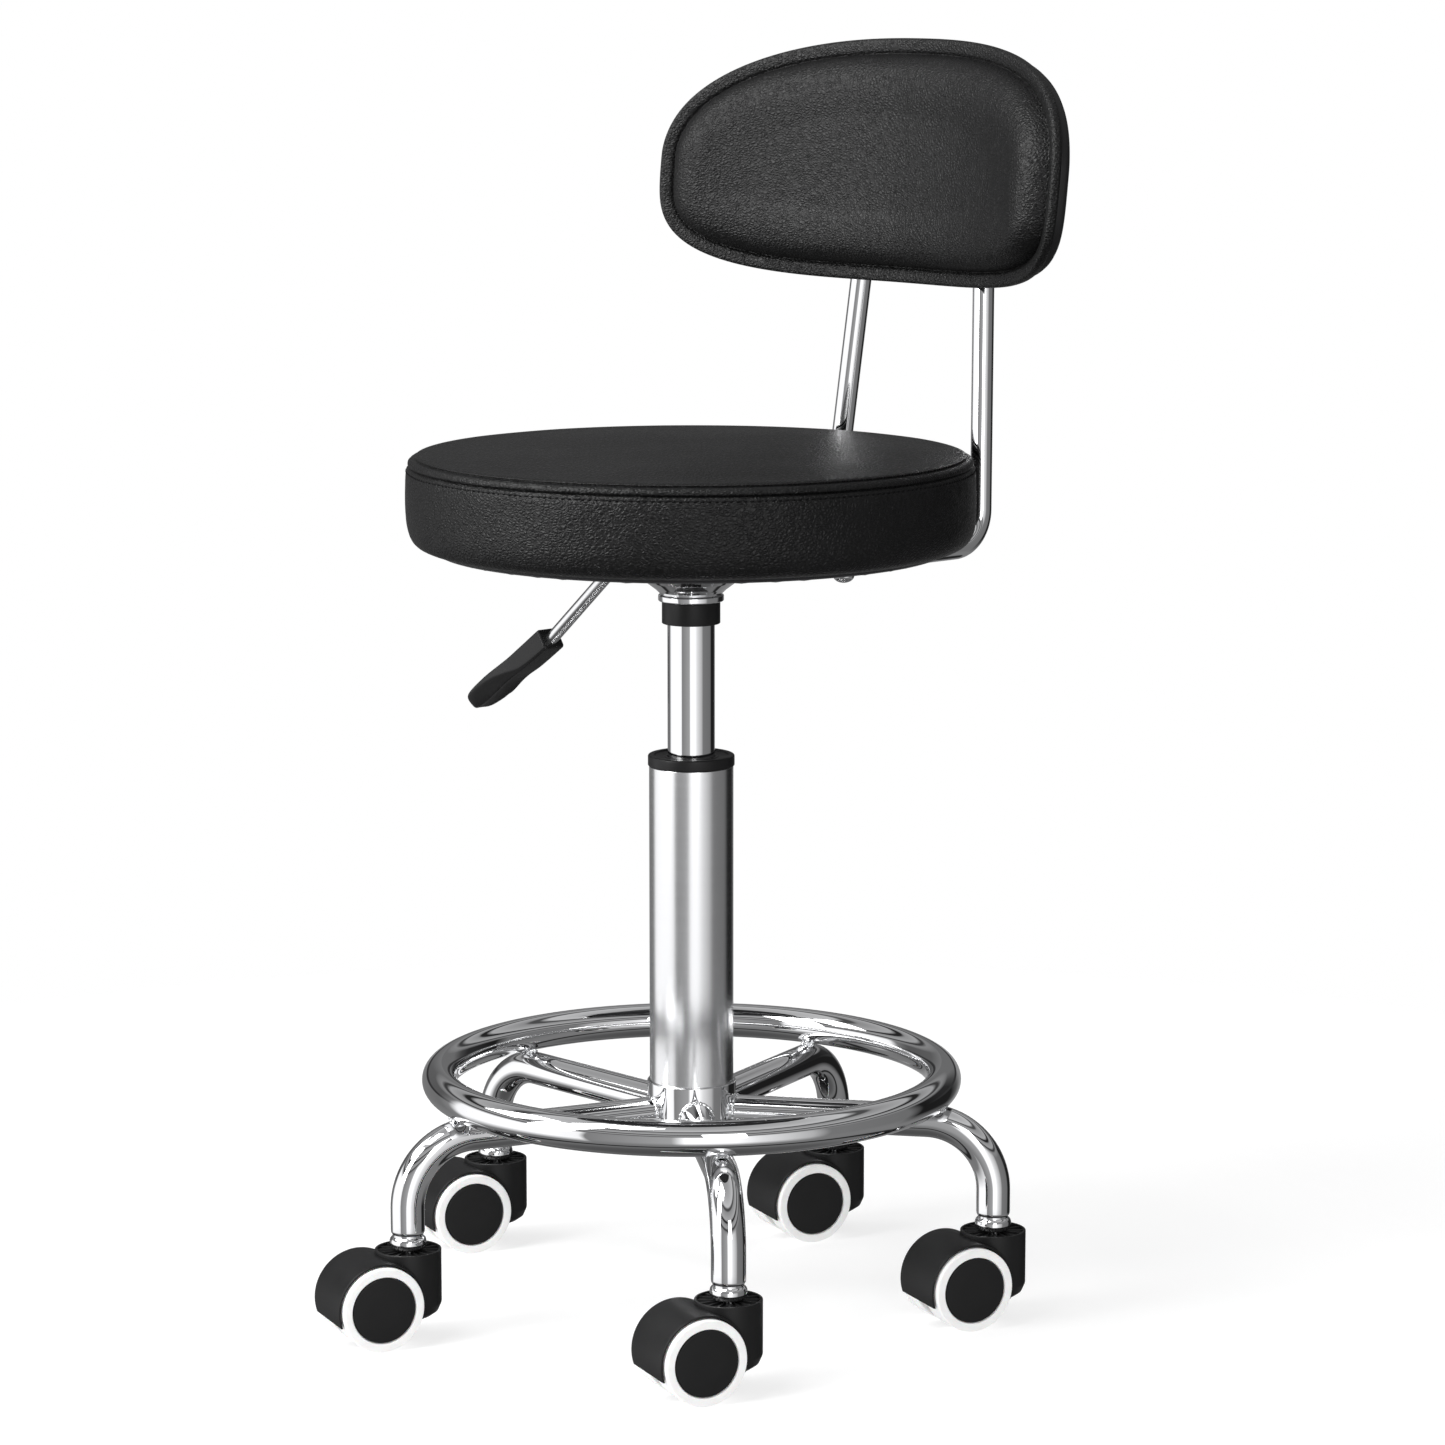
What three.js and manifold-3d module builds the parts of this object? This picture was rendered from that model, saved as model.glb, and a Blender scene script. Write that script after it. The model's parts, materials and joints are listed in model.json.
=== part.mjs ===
// Rolling stylist stool: five caster base with a foot ring, gas lift column, round padded seat,
// height lever and a curved backrest on two bent tubes.
// Millimetres, +Z up. The origin is on the floor on the column axis. The sitter faces -Y.
import * as THREE from 'three';
import { mergeVertices } from 'three/addons/utils/BufferGeometryUtils.js';
import Module from 'manifold-3d';

const wasm = await Module();
wasm.setup();

// clearance between pieces that touch or are welded on the real stool
const GAP = 0.3;

// base
const LEG_COUNT = 5;
const FIRST_LEG_DEG = 54.5;
const PIVOT_R = 182.6;
const LEG_R = 10;
const LEG_BORE_R = 8.5;
const LEG_BEND_R = 40;
const LEG_FOOT_Z = 54.2;
const RING_R = 150.6;
const RING_TUBE_R = 10.5;
const RING_Z = 138.7;
const LEG_Z = RING_Z - RING_TUBE_R - LEG_R + 0.3;
const HUB_R = 26.5;
const HUB_TOP_Z = 137;
const HUB_BOTTOM_Z = 97;

// column and gas lift
const COLUMN_R = 25;
const COLUMN_WALL = 1.8;
const COLUMN_BOTTOM_Z = 97.5;
const COLUMN_TOP_Z = 327.8;
const CAP_TOP_Z = 334.2;
const CAP_R = 25.7;
const CYLINDER_R = 14;
const CYLINDER_BOTTOM_Z = 182;
const CYLINDER_TOP_Z = 432;
const ROD_R = 5;
const ROD_TOP_Z = 292;
const COLLAR_R = 17.25;
const COLLAR_BOTTOM_Z = 411;
const COLLAR_TOP_Z = 424;

// seat
const PLATE_TOP_Z = 456;
const PLATE_THICK = 3;
const PLATE_SIDE = 112;
const CUP_RIM_R = 19.4;
const CUP_WALL = 2;
const SEAT_BOTTOM_Z = 458;
const SEAT_TOP_Z = 513.5;
const SEAT_R = 169.4;
const BOARD_R = 150;
const BOARD_TOP_Z = 462;

// height lever
const LEVER_R = 4;
const LEVER_Z = 443;
const LEVER_PIVOT_X = -22;
const LEVER_CORNER_X = -63.8;
const LEVER_DROP_DEG = 40.4;
const LEVER_GRIP_X = -127;
const GRIP_DROP_DEG = 33.6;
const PIN_R = 3.5;

// backrest
const BACK_TUBE_R = 6.5;
const BACK_TUBE_Z = 449.5;
const BACK_TUBE_BEND_R = 24;
const BACK_BOLT_Y = 62;
const BACK_RADIUS = 311;
const BACK_Y = 175.4;
const BACK_Z = 672.2;
const BACK_LEAN_DEG = 6.4;
const BACK_HALF_WIDTH = 178.1;
const BACK_UP = 79.9;
const BACK_DOWN = 68.5;
const BACK_FLANGE = 5.7;
const BACK_BOARD_REAR = 12;
const BACK_PAD_HEIGHT = 15;

// casters
const WHEEL_R = 25;
const AXLE_Z = 25;
const TRAIL = 24.1;
const TRAIL_DEG = 252.4;
const HOUSING_R = 19.5;
const HOUSING_TOP_Z = 53.9;
const HOOD_R = 27;
const HOOD_HALF_WIDTH = 20.8;
const WEB_HALF_WIDTH = 5.5;
const TYRE_OUTER_FACE = 23.6;
const WHEEL_INNER_FACE = 6.1;
const CORE_R = 19.5;
const AXLE_R = 3;

const chrome = { color: 0xd6d8db, metalness: 1, roughness: 0.08 };
const satin = { color: 0xbfc1c4, metalness: 1, roughness: 0.3 };
const steel = { color: 0x9a9c9f, metalness: 1, roughness: 0.35 };
const plastic = { color: 0x1b1b1c, metalness: 0, roughness: 0.5 };
const leather = { color: 0x1a1a1b, metalness: 0, roughness: 0.45 };
const plywood = { color: 0x9c7c56, metalness: 0, roughness: 0.8 };
const tyre = { color: 0xececec, metalness: 0, roughness: 0.55 };

const stool = new THREE.Group();
stool.name = 'stylist_stool';

function add(name, geometry, look) {
  const mesh = new THREE.Mesh(geometry, new THREE.MeshStandardMaterial(look));
  mesh.name = name;
  stool.add(mesh);
  return mesh;
}

// --- solids ---------------------------------------------------------------------------------

function weld(geometry) {
  const bare = geometry.clone();
  bare.deleteAttribute('normal');
  bare.deleteAttribute('uv');
  return mergeVertices(bare, 1e-4);
}

function toManifold(geometry) {
  const merged = weld(geometry);
  const vertProperties = Float32Array.from(merged.attributes.position.array);
  const triVerts = Uint32Array.from(merged.index.array);
  return new wasm.Manifold(new wasm.Mesh({ numProp: 3, vertProperties, triVerts }));
}

function fromManifold(solid) {
  const mesh = solid.getMesh();
  const geometry = new THREE.BufferGeometry();
  geometry.setAttribute('position', new THREE.BufferAttribute(mesh.vertProperties, 3));
  geometry.setIndex(new THREE.BufferAttribute(mesh.triVerts, 1));
  geometry.computeVertexNormals();
  return geometry;
}

function cut(geometry, ...tools) {
  const solid = tools.reduce((left, tool) => left.subtract(toManifold(tool)), toManifold(geometry));
  return fromManifold(solid);
}

function join(geometry, ...others) {
  const solid = others.reduce((left, other) => left.add(toManifold(other)), toManifold(geometry));
  return fromManifold(solid);
}

// Solid of revolution about Z. The profile runs counterclockwise in (radius, height).
function turned(profile, segments, phase = 0) {
  const points = profile.map(([radius, height]) => new THREE.Vector2(radius, height));
  const closed = points[0].x === 0 ? points : [...points, points[0].clone()];
  const geometry = new THREE.LatheGeometry(closed, segments, phase, 2 * Math.PI);
  geometry.rotateX(Math.PI / 2);
  return geometry;
}

function post(radius, bottom, top, segments = 20) {
  return turned([[0, bottom], [radius, bottom], [radius, top], [0, top]], segments);
}

function tubeWall(inner, outer, bottom, top, segments) {
  return turned([[inner, bottom], [outer, bottom], [outer, top], [inner, top]], segments);
}

function block(x0, x1, y0, y1, z0, z1) {
  const geometry = new THREE.BoxGeometry(x1 - x0, y1 - y0, z1 - z0);
  geometry.translate((x0 + x1) / 2, (y0 + y1) / 2, (z0 + z1) / 2);
  return geometry;
}

// Skin over a list of rings with the same number of points. Both ends are capped,
// or the last ring is joined to the first one.
function skin(rings, closed = false) {
  const count = rings[0].length;
  const positions = [];
  rings.flat().forEach((point) => positions.push(point.x, point.y, point.z));
  const index = [];
  const last = closed ? rings.length : rings.length - 1;
  for (let k = 0; k < last; k += 1) {
    const here = k * count;
    const next = ((k + 1) % rings.length) * count;
    for (let i = 0; i < count; i += 1) {
      const j = (i + 1) % count;
      const corners = [here + i, here + j, next + j, next + i];
      index.push(...splitQuad(corners, corners.map((corner) => positions[3 * corner + 1])));
    }
  }
  if (!closed) {
    capRing(rings[0], 0, true, positions, index);
    capRing(rings[rings.length - 1], (rings.length - 1) * count, false, positions, index);
  }
  const geometry = new THREE.BufferGeometry();
  geometry.setAttribute('position', new THREE.Float32BufferAttribute(positions, 3));
  geometry.setIndex(index);
  geometry.computeVertexNormals();
  return geometry;
}

// A quad is split along the diagonal that lies further back, so that two faces
// that lie against each other are split alike.
function splitQuad([a, b, c, d], [ya, yb, yc, yd]) {
  return ya + yc >= yb + yd ? [a, b, c, a, c, d] : [a, b, d, b, c, d];
}

function capRing(ring, first, reversed, positions, index) {
  const centre = new THREE.Vector3();
  ring.forEach((point) => centre.addScaledVector(point, 1 / ring.length));
  const middle = positions.length / 3;
  positions.push(centre.x, centre.y, centre.z);
  for (let i = 0; i < ring.length; i += 1) {
    const j = (i + 1) % ring.length;
    if (reversed) {
      index.push(first + j, first + i, middle);
    } else {
      index.push(first + i, first + j, middle);
    }
  }
}

// Stations along a bar that is bent once: start, corner, end and the bend's centreline radius.
function bentPath(start, corner, end, bendRadius, steps) {
  const into = corner.clone().sub(start).normalize();
  const out = end.clone().sub(corner).normalize();
  const angle = into.angleTo(out);
  const side = into.clone().cross(out).normalize();
  const inward = side.clone().cross(into);
  const setback = bendRadius * Math.tan(angle / 2);
  const bendStart = corner.clone().addScaledVector(into, -setback);
  const centre = bendStart.clone().addScaledVector(inward, bendRadius);
  const stations = [{ at: start, along: into, side }];
  for (let k = 0; k <= steps; k += 1) {
    const turn = (angle * k) / steps;
    const spoke = inward.clone().negate().applyAxisAngle(side, turn);
    const at = centre.clone().addScaledVector(spoke, bendRadius);
    stations.push({ at, along: into.clone().applyAxisAngle(side, turn), side });
  }
  stations.push({ at: end, along: out, side });
  return stations;
}

// Polygon around a station of a bar, with the area of the bar's round section.
function ringAt(station, radius, sides) {
  const across = station.side.clone().cross(station.along);
  const wedge = (2 * Math.PI) / sides;
  const reach = radius * Math.sqrt(wedge / Math.sin(wedge));
  const ring = [];
  for (let i = 0; i < sides; i += 1) {
    const turn = wedge * (i + 0.5);
    const point = station.at.clone();
    point.addScaledVector(station.side, reach * Math.sin(turn));
    point.addScaledVector(across, reach * Math.cos(turn));
    ring.push(point);
  }
  return ring;
}

const v = (x, y, z) => new THREE.Vector3(x, y, z);
const spun = (geometry, degrees) => geometry.clone().rotateZ(THREE.MathUtils.degToRad(degrees));

// --- base -----------------------------------------------------------------------------------

// The leg points along +X here: flat run out of the hub, bend, then down to a swaged bead.
function legGeometry() {
  const sides = 10;
  const runEnd = v(PIVOT_R, 0, LEG_FOOT_Z + 10);
  const path = bentPath(v(22, 0, LEG_Z), v(PIVOT_R, 0, LEG_Z), runEnd, LEG_BEND_R, 4);
  const foot = path[path.length - 1];
  const level = (height) => ({ ...foot, at: v(PIVOT_R, 0, LEG_FOOT_Z + height) });
  const bead = [[8, 8.7], [6.3, 10.5], [2.2, 10.6], [0, 9.8]];
  const outside = path.map((station) => ringAt(station, LEG_R, sides));
  const foots = bead.map(([height, radius]) => ringAt(level(height), radius, sides));
  const socket = [[0, 5.8], [22, 5.8]].map(([height, radius]) => ringAt(level(height), radius, sides));
  const bore = path.slice(0, -1).reverse().map((station) => ringAt(station, LEG_BORE_R, sides));
  const boreFoot = ringAt(level(22), LEG_BORE_R, sides);
  const rings = [...outside, ...foots, ...socket, boreFoot, ...bore];
  return cut(skin(rings, true), post(HUB_R + GAP, HUB_BOTTOM_Z - 5, HUB_TOP_Z + 5, 28));
}

const legDegrees = [];
for (let i = 0; i < LEG_COUNT; i += 1) {
  legDegrees.push(FIRST_LEG_DEG - 90 + (360 / LEG_COUNT) * i);
}

const leg = legGeometry();
legDegrees.forEach((degrees, i) => add(`leg_${i + 1}`, spun(leg, degrees), chrome));

add('foot_ring', new THREE.TorusGeometry(RING_R, RING_TUBE_R, 10, 48).translate(0, 0, RING_Z), chrome);

const hubBore = COLUMN_R + GAP;
add('hub', turned([
  [hubBore, HUB_BOTTOM_Z],
  [HUB_R - 0.6, HUB_BOTTOM_Z],
  [HUB_R, HUB_BOTTOM_Z + 0.6],
  [HUB_R, HUB_TOP_Z - 0.6],
  [HUB_R - 0.6, HUB_TOP_Z],
  [hubBore, HUB_TOP_Z],
], 28), chrome);

const columnBore = COLUMN_R - COLUMN_WALL;
add('outer_tube', turned([
  [ROD_R + GAP, COLUMN_BOTTOM_Z],
  [COLUMN_R, COLUMN_BOTTOM_Z],
  [COLUMN_R, COLUMN_TOP_Z - GAP],
  [columnBore, COLUMN_TOP_Z - GAP],
  [columnBore, COLUMN_BOTTOM_Z + 3],
  [ROD_R + GAP, COLUMN_BOTTOM_Z + 3],
], 28), satin);

// the cap's skirt reaches down inside the tube and guides the cylinder
add('tube_cap', turned([
  [CYLINDER_R + GAP, COLUMN_TOP_Z - 30],
  [columnBore - GAP, COLUMN_TOP_Z - 30],
  [columnBore - GAP, COLUMN_TOP_Z],
  [CAP_R, COLUMN_TOP_Z],
  [CAP_R, CAP_TOP_Z - 1],
  [CAP_R - 1, CAP_TOP_Z],
  [CAP_R - 5, CAP_TOP_Z - 0.4],
  [CYLINDER_R + GAP, CAP_TOP_Z - 1.2],
], 28), plastic);

// --- gas lift -------------------------------------------------------------------------------

const bearingZ = COLUMN_BOTTOM_Z + 3 + GAP;
add('piston_rod', post(ROD_R, COLUMN_BOTTOM_Z - 3, ROD_TOP_Z, 12), steel);
add('thrust_bearing', tubeWall(ROD_R + GAP, 12, bearingZ, bearingZ + 6, 14), steel);

add('gas_cylinder', turned([
  [0, ROD_TOP_Z + 82],
  [ROD_R + 0.4, ROD_TOP_Z + 82],
  [ROD_R + 0.4, CYLINDER_BOTTOM_Z],
  [CYLINDER_R - 1, CYLINDER_BOTTOM_Z],
  [CYLINDER_R, CYLINDER_BOTTOM_Z + 1],
  [CYLINDER_R, CYLINDER_TOP_Z - 2],
  [CYLINDER_R - 2, CYLINDER_TOP_Z],
  [PIN_R + GAP, CYLINDER_TOP_Z],
  [PIN_R + GAP, CYLINDER_TOP_Z - 12],
  [0, CYLINDER_TOP_Z - 12],
], 20), chrome);

add('release_pin', post(PIN_R, CYLINDER_TOP_Z - 6, LEVER_Z - LEVER_R - GAP, 10), steel);

add('cylinder_collar', turned([
  [CYLINDER_R + GAP, COLLAR_BOTTOM_Z],
  [COLLAR_R - 0.6, COLLAR_BOTTOM_Z],
  [COLLAR_R, COLLAR_BOTTOM_Z + 0.6],
  [COLLAR_R, COLLAR_TOP_Z],
  [CYLINDER_R + GAP, COLLAR_TOP_Z],
], 20), plastic);

// --- seat mount and seat --------------------------------------------------------------------

// Pressed cup that flares up to a square plate. Two cheeks inside it carry the lever's trunnions.
function mountGeometry() {
  const plateBottom = PLATE_TOP_Z - PLATE_THICK;
  const flareTop = 41;
  const cup = turned([
    [CYLINDER_R + GAP, COLLAR_TOP_Z + GAP],
    [CUP_RIM_R, COLLAR_TOP_Z + GAP],
    [CUP_RIM_R, COLLAR_TOP_Z + 3.5],
    [CUP_RIM_R - 1.2, COLLAR_TOP_Z + 4.5],
    [CUP_RIM_R + 4, COLLAR_TOP_Z + 9],
    [flareTop, plateBottom + 1],
    [flareTop - CUP_WALL - 1, plateBottom + 1],
    [CUP_RIM_R + 2.5, COLLAR_TOP_Z + 11],
    [CYLINDER_R + 1, COLLAR_TOP_Z + 5],
    [CYLINDER_R + GAP, COLLAR_TOP_Z + 5],
  ], 24);
  const half = PLATE_SIDE / 2;
  const plate = cut(
    block(-half, half, -half, half, plateBottom, PLATE_TOP_Z),
    post(flareTop - CUP_WALL - 1, plateBottom - 1, PLATE_TOP_Z + 1, 24),
  );
  const cheek = block(LEVER_PIVOT_X - 6, LEVER_PIVOT_X + 6, 5, 9, COLLAR_TOP_Z + 12, plateBottom + 1);
  const cheeks = join(cheek, cheek.clone().translate(0, -14, 0));
  const body = join(cup, plate, strapAcross(plateBottom), cheeks);
  const trunnionHole = post(2.5 + GAP, -12, 12, 10).rotateX(Math.PI / 2).translate(LEVER_PIVOT_X, 0, LEVER_Z);
  const slot = block(-70, -14, -4.6, 4.6, LEVER_Z - 6, plateBottom - 0.5);
  return cut(body, trunnionHole, slot);
}

// the strip of the plate that closes the cup above the cheeks
function strapAcross(plateBottom) {
  return block(LEVER_PIVOT_X - 6, LEVER_PIVOT_X + 6, -45, 45, plateBottom, PLATE_TOP_Z);
}

add('mount_plate', mountGeometry(), chrome);

const boltX = 65;
const boltHole = (x, radius, top) => post(radius, BACK_TUBE_Z - 10, top, 10).translate(x, BACK_BOLT_Y, 0);
const board = turned([
  [0, PLATE_TOP_Z + GAP],
  [BOARD_R - 1, PLATE_TOP_Z + GAP],
  [BOARD_R, PLATE_TOP_Z + GAP + 1],
  [BOARD_R, BOARD_TOP_Z],
  [0, BOARD_TOP_Z],
], 36);
add('seat_board', cut(board, boltHole(boltX, 3.2, 461), boltHole(-boltX, 3.2, 461)), plywood);

// cushion with a flat top, a slightly drawn-in upper rim and a rounded lower edge
add('seat_cushion', turned([
  [0, BOARD_TOP_Z + GAP],
  [BOARD_R + GAP, BOARD_TOP_Z + GAP],
  [BOARD_R + GAP, SEAT_BOTTOM_Z],
  [156, SEAT_BOTTOM_Z + 0.4],
  [164.8, SEAT_BOTTOM_Z + 5],
  [169, SEAT_BOTTOM_Z + 15],
  [SEAT_R, SEAT_BOTTOM_Z + 30],
  [167.4, SEAT_TOP_Z - 11],
  [164, SEAT_TOP_Z - 2.8],
  [157, SEAT_TOP_Z],
  [0, SEAT_TOP_Z],
], 36), leather);

// --- height lever ---------------------------------------------------------------------------

const drop = THREE.MathUtils.degToRad(LEVER_DROP_DEG);
const leverAlong = v(-Math.cos(drop), 0, -Math.sin(drop));
const gripDrop = THREE.MathUtils.degToRad(GRIP_DROP_DEG);
const gripAlong = v(-Math.cos(gripDrop), 0, -Math.sin(gripDrop));
const gripUp = v(-Math.sin(gripDrop), 0, Math.cos(gripDrop));
const onLever = (x) => {
  const corner = v(LEVER_CORNER_X, 0, LEVER_Z);
  return corner.addScaledVector(leverAlong, (LEVER_CORNER_X - x) / Math.cos(drop));
};

function leverRodGeometry() {
  const path = bentPath(v(5, 0, LEVER_Z), v(LEVER_CORNER_X, 0, LEVER_Z), onLever(LEVER_GRIP_X - 14), 14, 3);
  const rod = skin(path.map((station) => ringAt(station, LEVER_R, 8)));
  const trunnion = post(2.5, -9, 9, 10).rotateX(Math.PI / 2).translate(LEVER_PIVOT_X, 0, LEVER_Z);
  return join(rod, trunnion);
}

// Faceted grip that flattens into a paddle. Each section: distance from its upper end,
// half width, height above and below the rod's line.
const GRIP_SECTIONS = [
  [0, 7.8, 6.2, 5.8],
  [26, 8.2, 6.4, 5.4],
  [44, 9.4, 5.6, 4.6],
  [57, 11, 4.6, 4],
  [70, 11.6, 3.6, 3.6],
  [79, 10, 3, 3],
  [84, 6.4, 2.4, 2.4],
  [86, 3, 1.6, 1.6],
];

function gripGeometry() {
  const start = onLever(LEVER_GRIP_X);
  const rings = GRIP_SECTIONS.map(([distance, half, above, below]) => {
    const outline = [
      [-half * 0.7, above], [half * 0.7, above], [half, above * 0.45],
      [half, -below * 0.6], [half * 0.82, -below], [-half * 0.82, -below],
      [-half, -below * 0.6], [-half, above * 0.45],
    ];
    return outline.map(([across, up]) => {
      const point = start.clone().addScaledVector(gripAlong, distance);
      return point.add(v(0, across, 0)).addScaledVector(gripUp, up);
    });
  });
  const hole = [-6, 20].map((distance) => ringAt(leverStation(distance), LEVER_R + GAP, 10));
  return cut(skin(rings), skin(hole));
}

function leverStation(distance) {
  const at = onLever(LEVER_GRIP_X).addScaledVector(leverAlong, distance);
  return { at, along: leverAlong, side: v(0, 1, 0) };
}

add('lever_rod', leverRodGeometry(), chrome);
add('lever_grip', gripGeometry(), plastic);

// --- backrest -------------------------------------------------------------------------------

// A blind bore runs up each tube from its open front end under the seat.
function backTubeGeometry(side) {
  const sides = 10;
  const front = v(side * boltX, BACK_BOLT_Y - 13, BACK_TUBE_Z);
  const corner = v(side * boltX, 176, BACK_TUBE_Z);
  const path = bentPath(front, corner, v(side * 45.6, 197.1, 698), BACK_TUBE_BEND_R, 5);
  const top = path[path.length - 1];
  const boreTop = { ...top, at: top.at.clone().addScaledVector(top.along, -3) };
  const bore = [...path.slice(0, -1), boreTop].reverse().map((station) => ringAt(station, 5.2, sides));
  const outside = path.map((station) => ringAt(station, BACK_TUBE_R, sides));
  return cut(skin([...bore, ...outside]), boltHole(side * boltX, 3.2, 465));
}

function boltGeometry(side) {
  const headTop = BACK_TUBE_Z - BACK_TUBE_R - GAP;
  return turned([
    [0, headTop - 5.6],
    [3.4, headTop - 5],
    [5.6, headTop - 3],
    [6.3, headTop - 0.6],
    [6.3, headTop],
    [2.9, headTop],
    [2.9, 460.5],
    [0, 460.5],
  ], 12).translate(side * boltX, BACK_BOLT_Y, 0);
}

add('back_tube_left', backTubeGeometry(1), chrome);
add('back_tube_right', backTubeGeometry(-1), chrome);
add('back_bolt_left', boltGeometry(1), chrome);
add('back_bolt_right', boltGeometry(-1), chrome);

// A point of the backrest: s along the curve to the sitter's left, t up the lean,
// w out of the rest towards the sitter.
const lean = THREE.MathUtils.degToRad(BACK_LEAN_DEG);
function backPoint(s, t, w) {
  const turn = s / BACK_RADIUS;
  const radius = BACK_RADIUS - w;
  const x = radius * Math.sin(turn);
  const forward = BACK_RADIUS - radius * Math.cos(turn);
  return v(x, BACK_Y - forward + t * Math.sin(lean), BACK_Z + t * Math.cos(lean));
}

// Egg-like outline: arched above, flatter below. Inset is measured along the radius.
function backRing(inset, w, count = 24) {
  const ring = [];
  for (let i = 0; i < count; i += 1) {
    const turn = (2 * Math.PI * i) / count;
    const c = Math.cos(turn);
    const s = Math.sin(turn);
    const power = s >= 0 ? 2.29 : 3.29;
    const reach = s >= 0 ? BACK_UP : BACK_DOWN;
    const across = BACK_HALF_WIDTH * Math.sign(c) * Math.abs(c) ** (2 / power);
    const up = reach * Math.sign(s) * Math.abs(s) ** (2 / power);
    const length = Math.hypot(across, up);
    const scale = Math.max(length - inset, 0) / length;
    ring.push(backPoint(across * scale, up * scale, w));
  }
  return ring;
}

// rings that carry a face of the backrest inwards from its rim
function backField(w, count = 24) {
  const inner = [0.78, 0.56, 0.34, 0.12].map((share) => {
    const ring = [];
    for (let i = 0; i < count; i += 1) {
      const turn = (2 * Math.PI * i) / count;
      const reach = turn < Math.PI ? BACK_UP : BACK_DOWN;
      const across = share * BACK_HALF_WIDTH * Math.cos(turn);
      ring.push(backPoint(across, share * reach * Math.sin(turn), w));
    }
    return ring;
  });
  return [backRing(8, w, count), ...inner];
}

add('back_board', skin([
  ...backField(-BACK_BOARD_REAR).reverse(),
  backRing(6, -BACK_BOARD_REAR),
  backRing(3, -BACK_BOARD_REAR + 2),
  backRing(3, -BACK_FLANGE - GAP),
  ...backField(-BACK_FLANGE - GAP),
]), plastic);

add('back_cushion', skin([
  ...backField(-BACK_FLANGE).reverse(),
  backRing(1, -BACK_FLANGE),
  backRing(0, -BACK_FLANGE + 2),
  backRing(0, -1.5),
  backRing(1.2, 0),
  backRing(9, 0),
  backRing(11, BACK_PAD_HEIGHT * 0.45),
  backRing(16, BACK_PAD_HEIGHT * 0.85),
  backRing(23, BACK_PAD_HEIGHT),
  ...backField(BACK_PAD_HEIGHT).slice(2),
]), leather);

// --- casters --------------------------------------------------------------------------------

// Caster frame: pivot on the Z axis, axle at +X by the trail, wheels apart along Y.
const acrossAxle = (geometry) => geometry.rotateX(Math.PI / 2).translate(TRAIL, 0, AXLE_Z);

function housingGeometry() {
  const barrel = turned([
    [0, 13.8],
    [HOUSING_R - 6.5, 13.8],
    [HOUSING_R - 2.2, 16.8],
    [HOUSING_R, 21.8],
    [HOUSING_R, HOUSING_TOP_Z],
    [HOUSING_R - 1.6, HOUSING_TOP_Z],
    [HOUSING_R - 1.6, HOUSING_TOP_Z - 1.6],
    [0, HOUSING_TOP_Z - 1.6],
  ], 18);
  const drum = acrossAxle(post(HOOD_R, -HOOD_HALF_WIDTH, HOOD_HALF_WIDTH, 22));
  const below = block(-10, 60, -40, 40, -20, AXLE_Z - 8.7);
  const front = block(-40, -3, -40, 40, -20, 80);
  const hood = cut(drum, below, front);
  const wheelSpace = WHEEL_R + 0.9;
  const near = acrossAxle(post(wheelSpace, WEB_HALF_WIDTH, 40, 18));
  const far = acrossAxle(post(wheelSpace, -40, -WEB_HALF_WIDTH, 18));
  const stemHole = post(5.7, 28, 80, 10);
  const axleHole = acrossAxle(post(AXLE_R + GAP, -10, 10, 10));
  return cut(join(barrel, hood), near, far, stemHole, axleHole);
}

// The wheel's outer face looks along +Z here. A flat of the tyre rests on the floor.
const WHEEL_SIDES = 16;
const onFlat = Math.PI / WHEEL_SIDES;
const roundUp = 1 / Math.cos(onFlat);

function coreGeometry() {
  return turned([
    [0, TYRE_OUTER_FACE - 2.4],
    [AXLE_R + GAP, TYRE_OUTER_FACE - 2.4],
    [AXLE_R + GAP, WHEEL_INNER_FACE],
    [CORE_R, WHEEL_INNER_FACE],
    [CORE_R, TYRE_OUTER_FACE - 0.3],
    [0, TYRE_OUTER_FACE + 0.3],
  ], WHEEL_SIDES, onFlat);
}

function tyreGeometry() {
  const inner = CORE_R + GAP;
  const outer = WHEEL_R * roundUp;
  return turned([
    [inner, WHEEL_INNER_FACE],
    [outer, WHEEL_INNER_FACE],
    [outer, TYRE_OUTER_FACE - 1.2],
    [outer - 1, TYRE_OUTER_FACE],
    [inner, TYRE_OUTER_FACE],
  ], WHEEL_SIDES, onFlat);
}

function placeCaster(geometry, legDegree) {
  const angle = THREE.MathUtils.degToRad(legDegree);
  const turnedTo = spun(geometry, TRAIL_DEG);
  return turnedTo.translate(PIVOT_R * Math.cos(angle), PIVOT_R * Math.sin(angle), 0);
}

const housing = housingGeometry();
const stem = post(5.4, 28 + GAP, LEG_FOOT_Z + 20, 10);
const axle = acrossAxle(post(AXLE_R, -20.8, 20.8, 10));
const sideA = (geometry) => acrossAxle(geometry.clone());
const sideB = (geometry) => acrossAxle(geometry.clone().rotateX(Math.PI));
const core = coreGeometry();
const tread = tyreGeometry();

legDegrees.forEach((degrees, i) => {
  const n = i + 1;
  add(`caster_housing_${n}`, placeCaster(housing, degrees), plastic);
  add(`caster_stem_${n}`, placeCaster(stem, degrees), steel);
  add(`caster_axle_${n}`, placeCaster(axle, degrees), steel);
  [['a', sideA], ['b', sideB]].forEach(([letter, place]) => {
    add(`wheel_core_${n}${letter}`, placeCaster(place(core), degrees), plastic);
    add(`wheel_tyre_${n}${letter}`, placeCaster(place(tread), degrees), tyre);
  });
});

export default stool;
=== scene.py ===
import bpy
import bmesh
import json
import math
from mathutils import Matrix, Vector, noise
from mathutils.bvhtree import BVHTree
from mathutils.kdtree import KDTree


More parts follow.
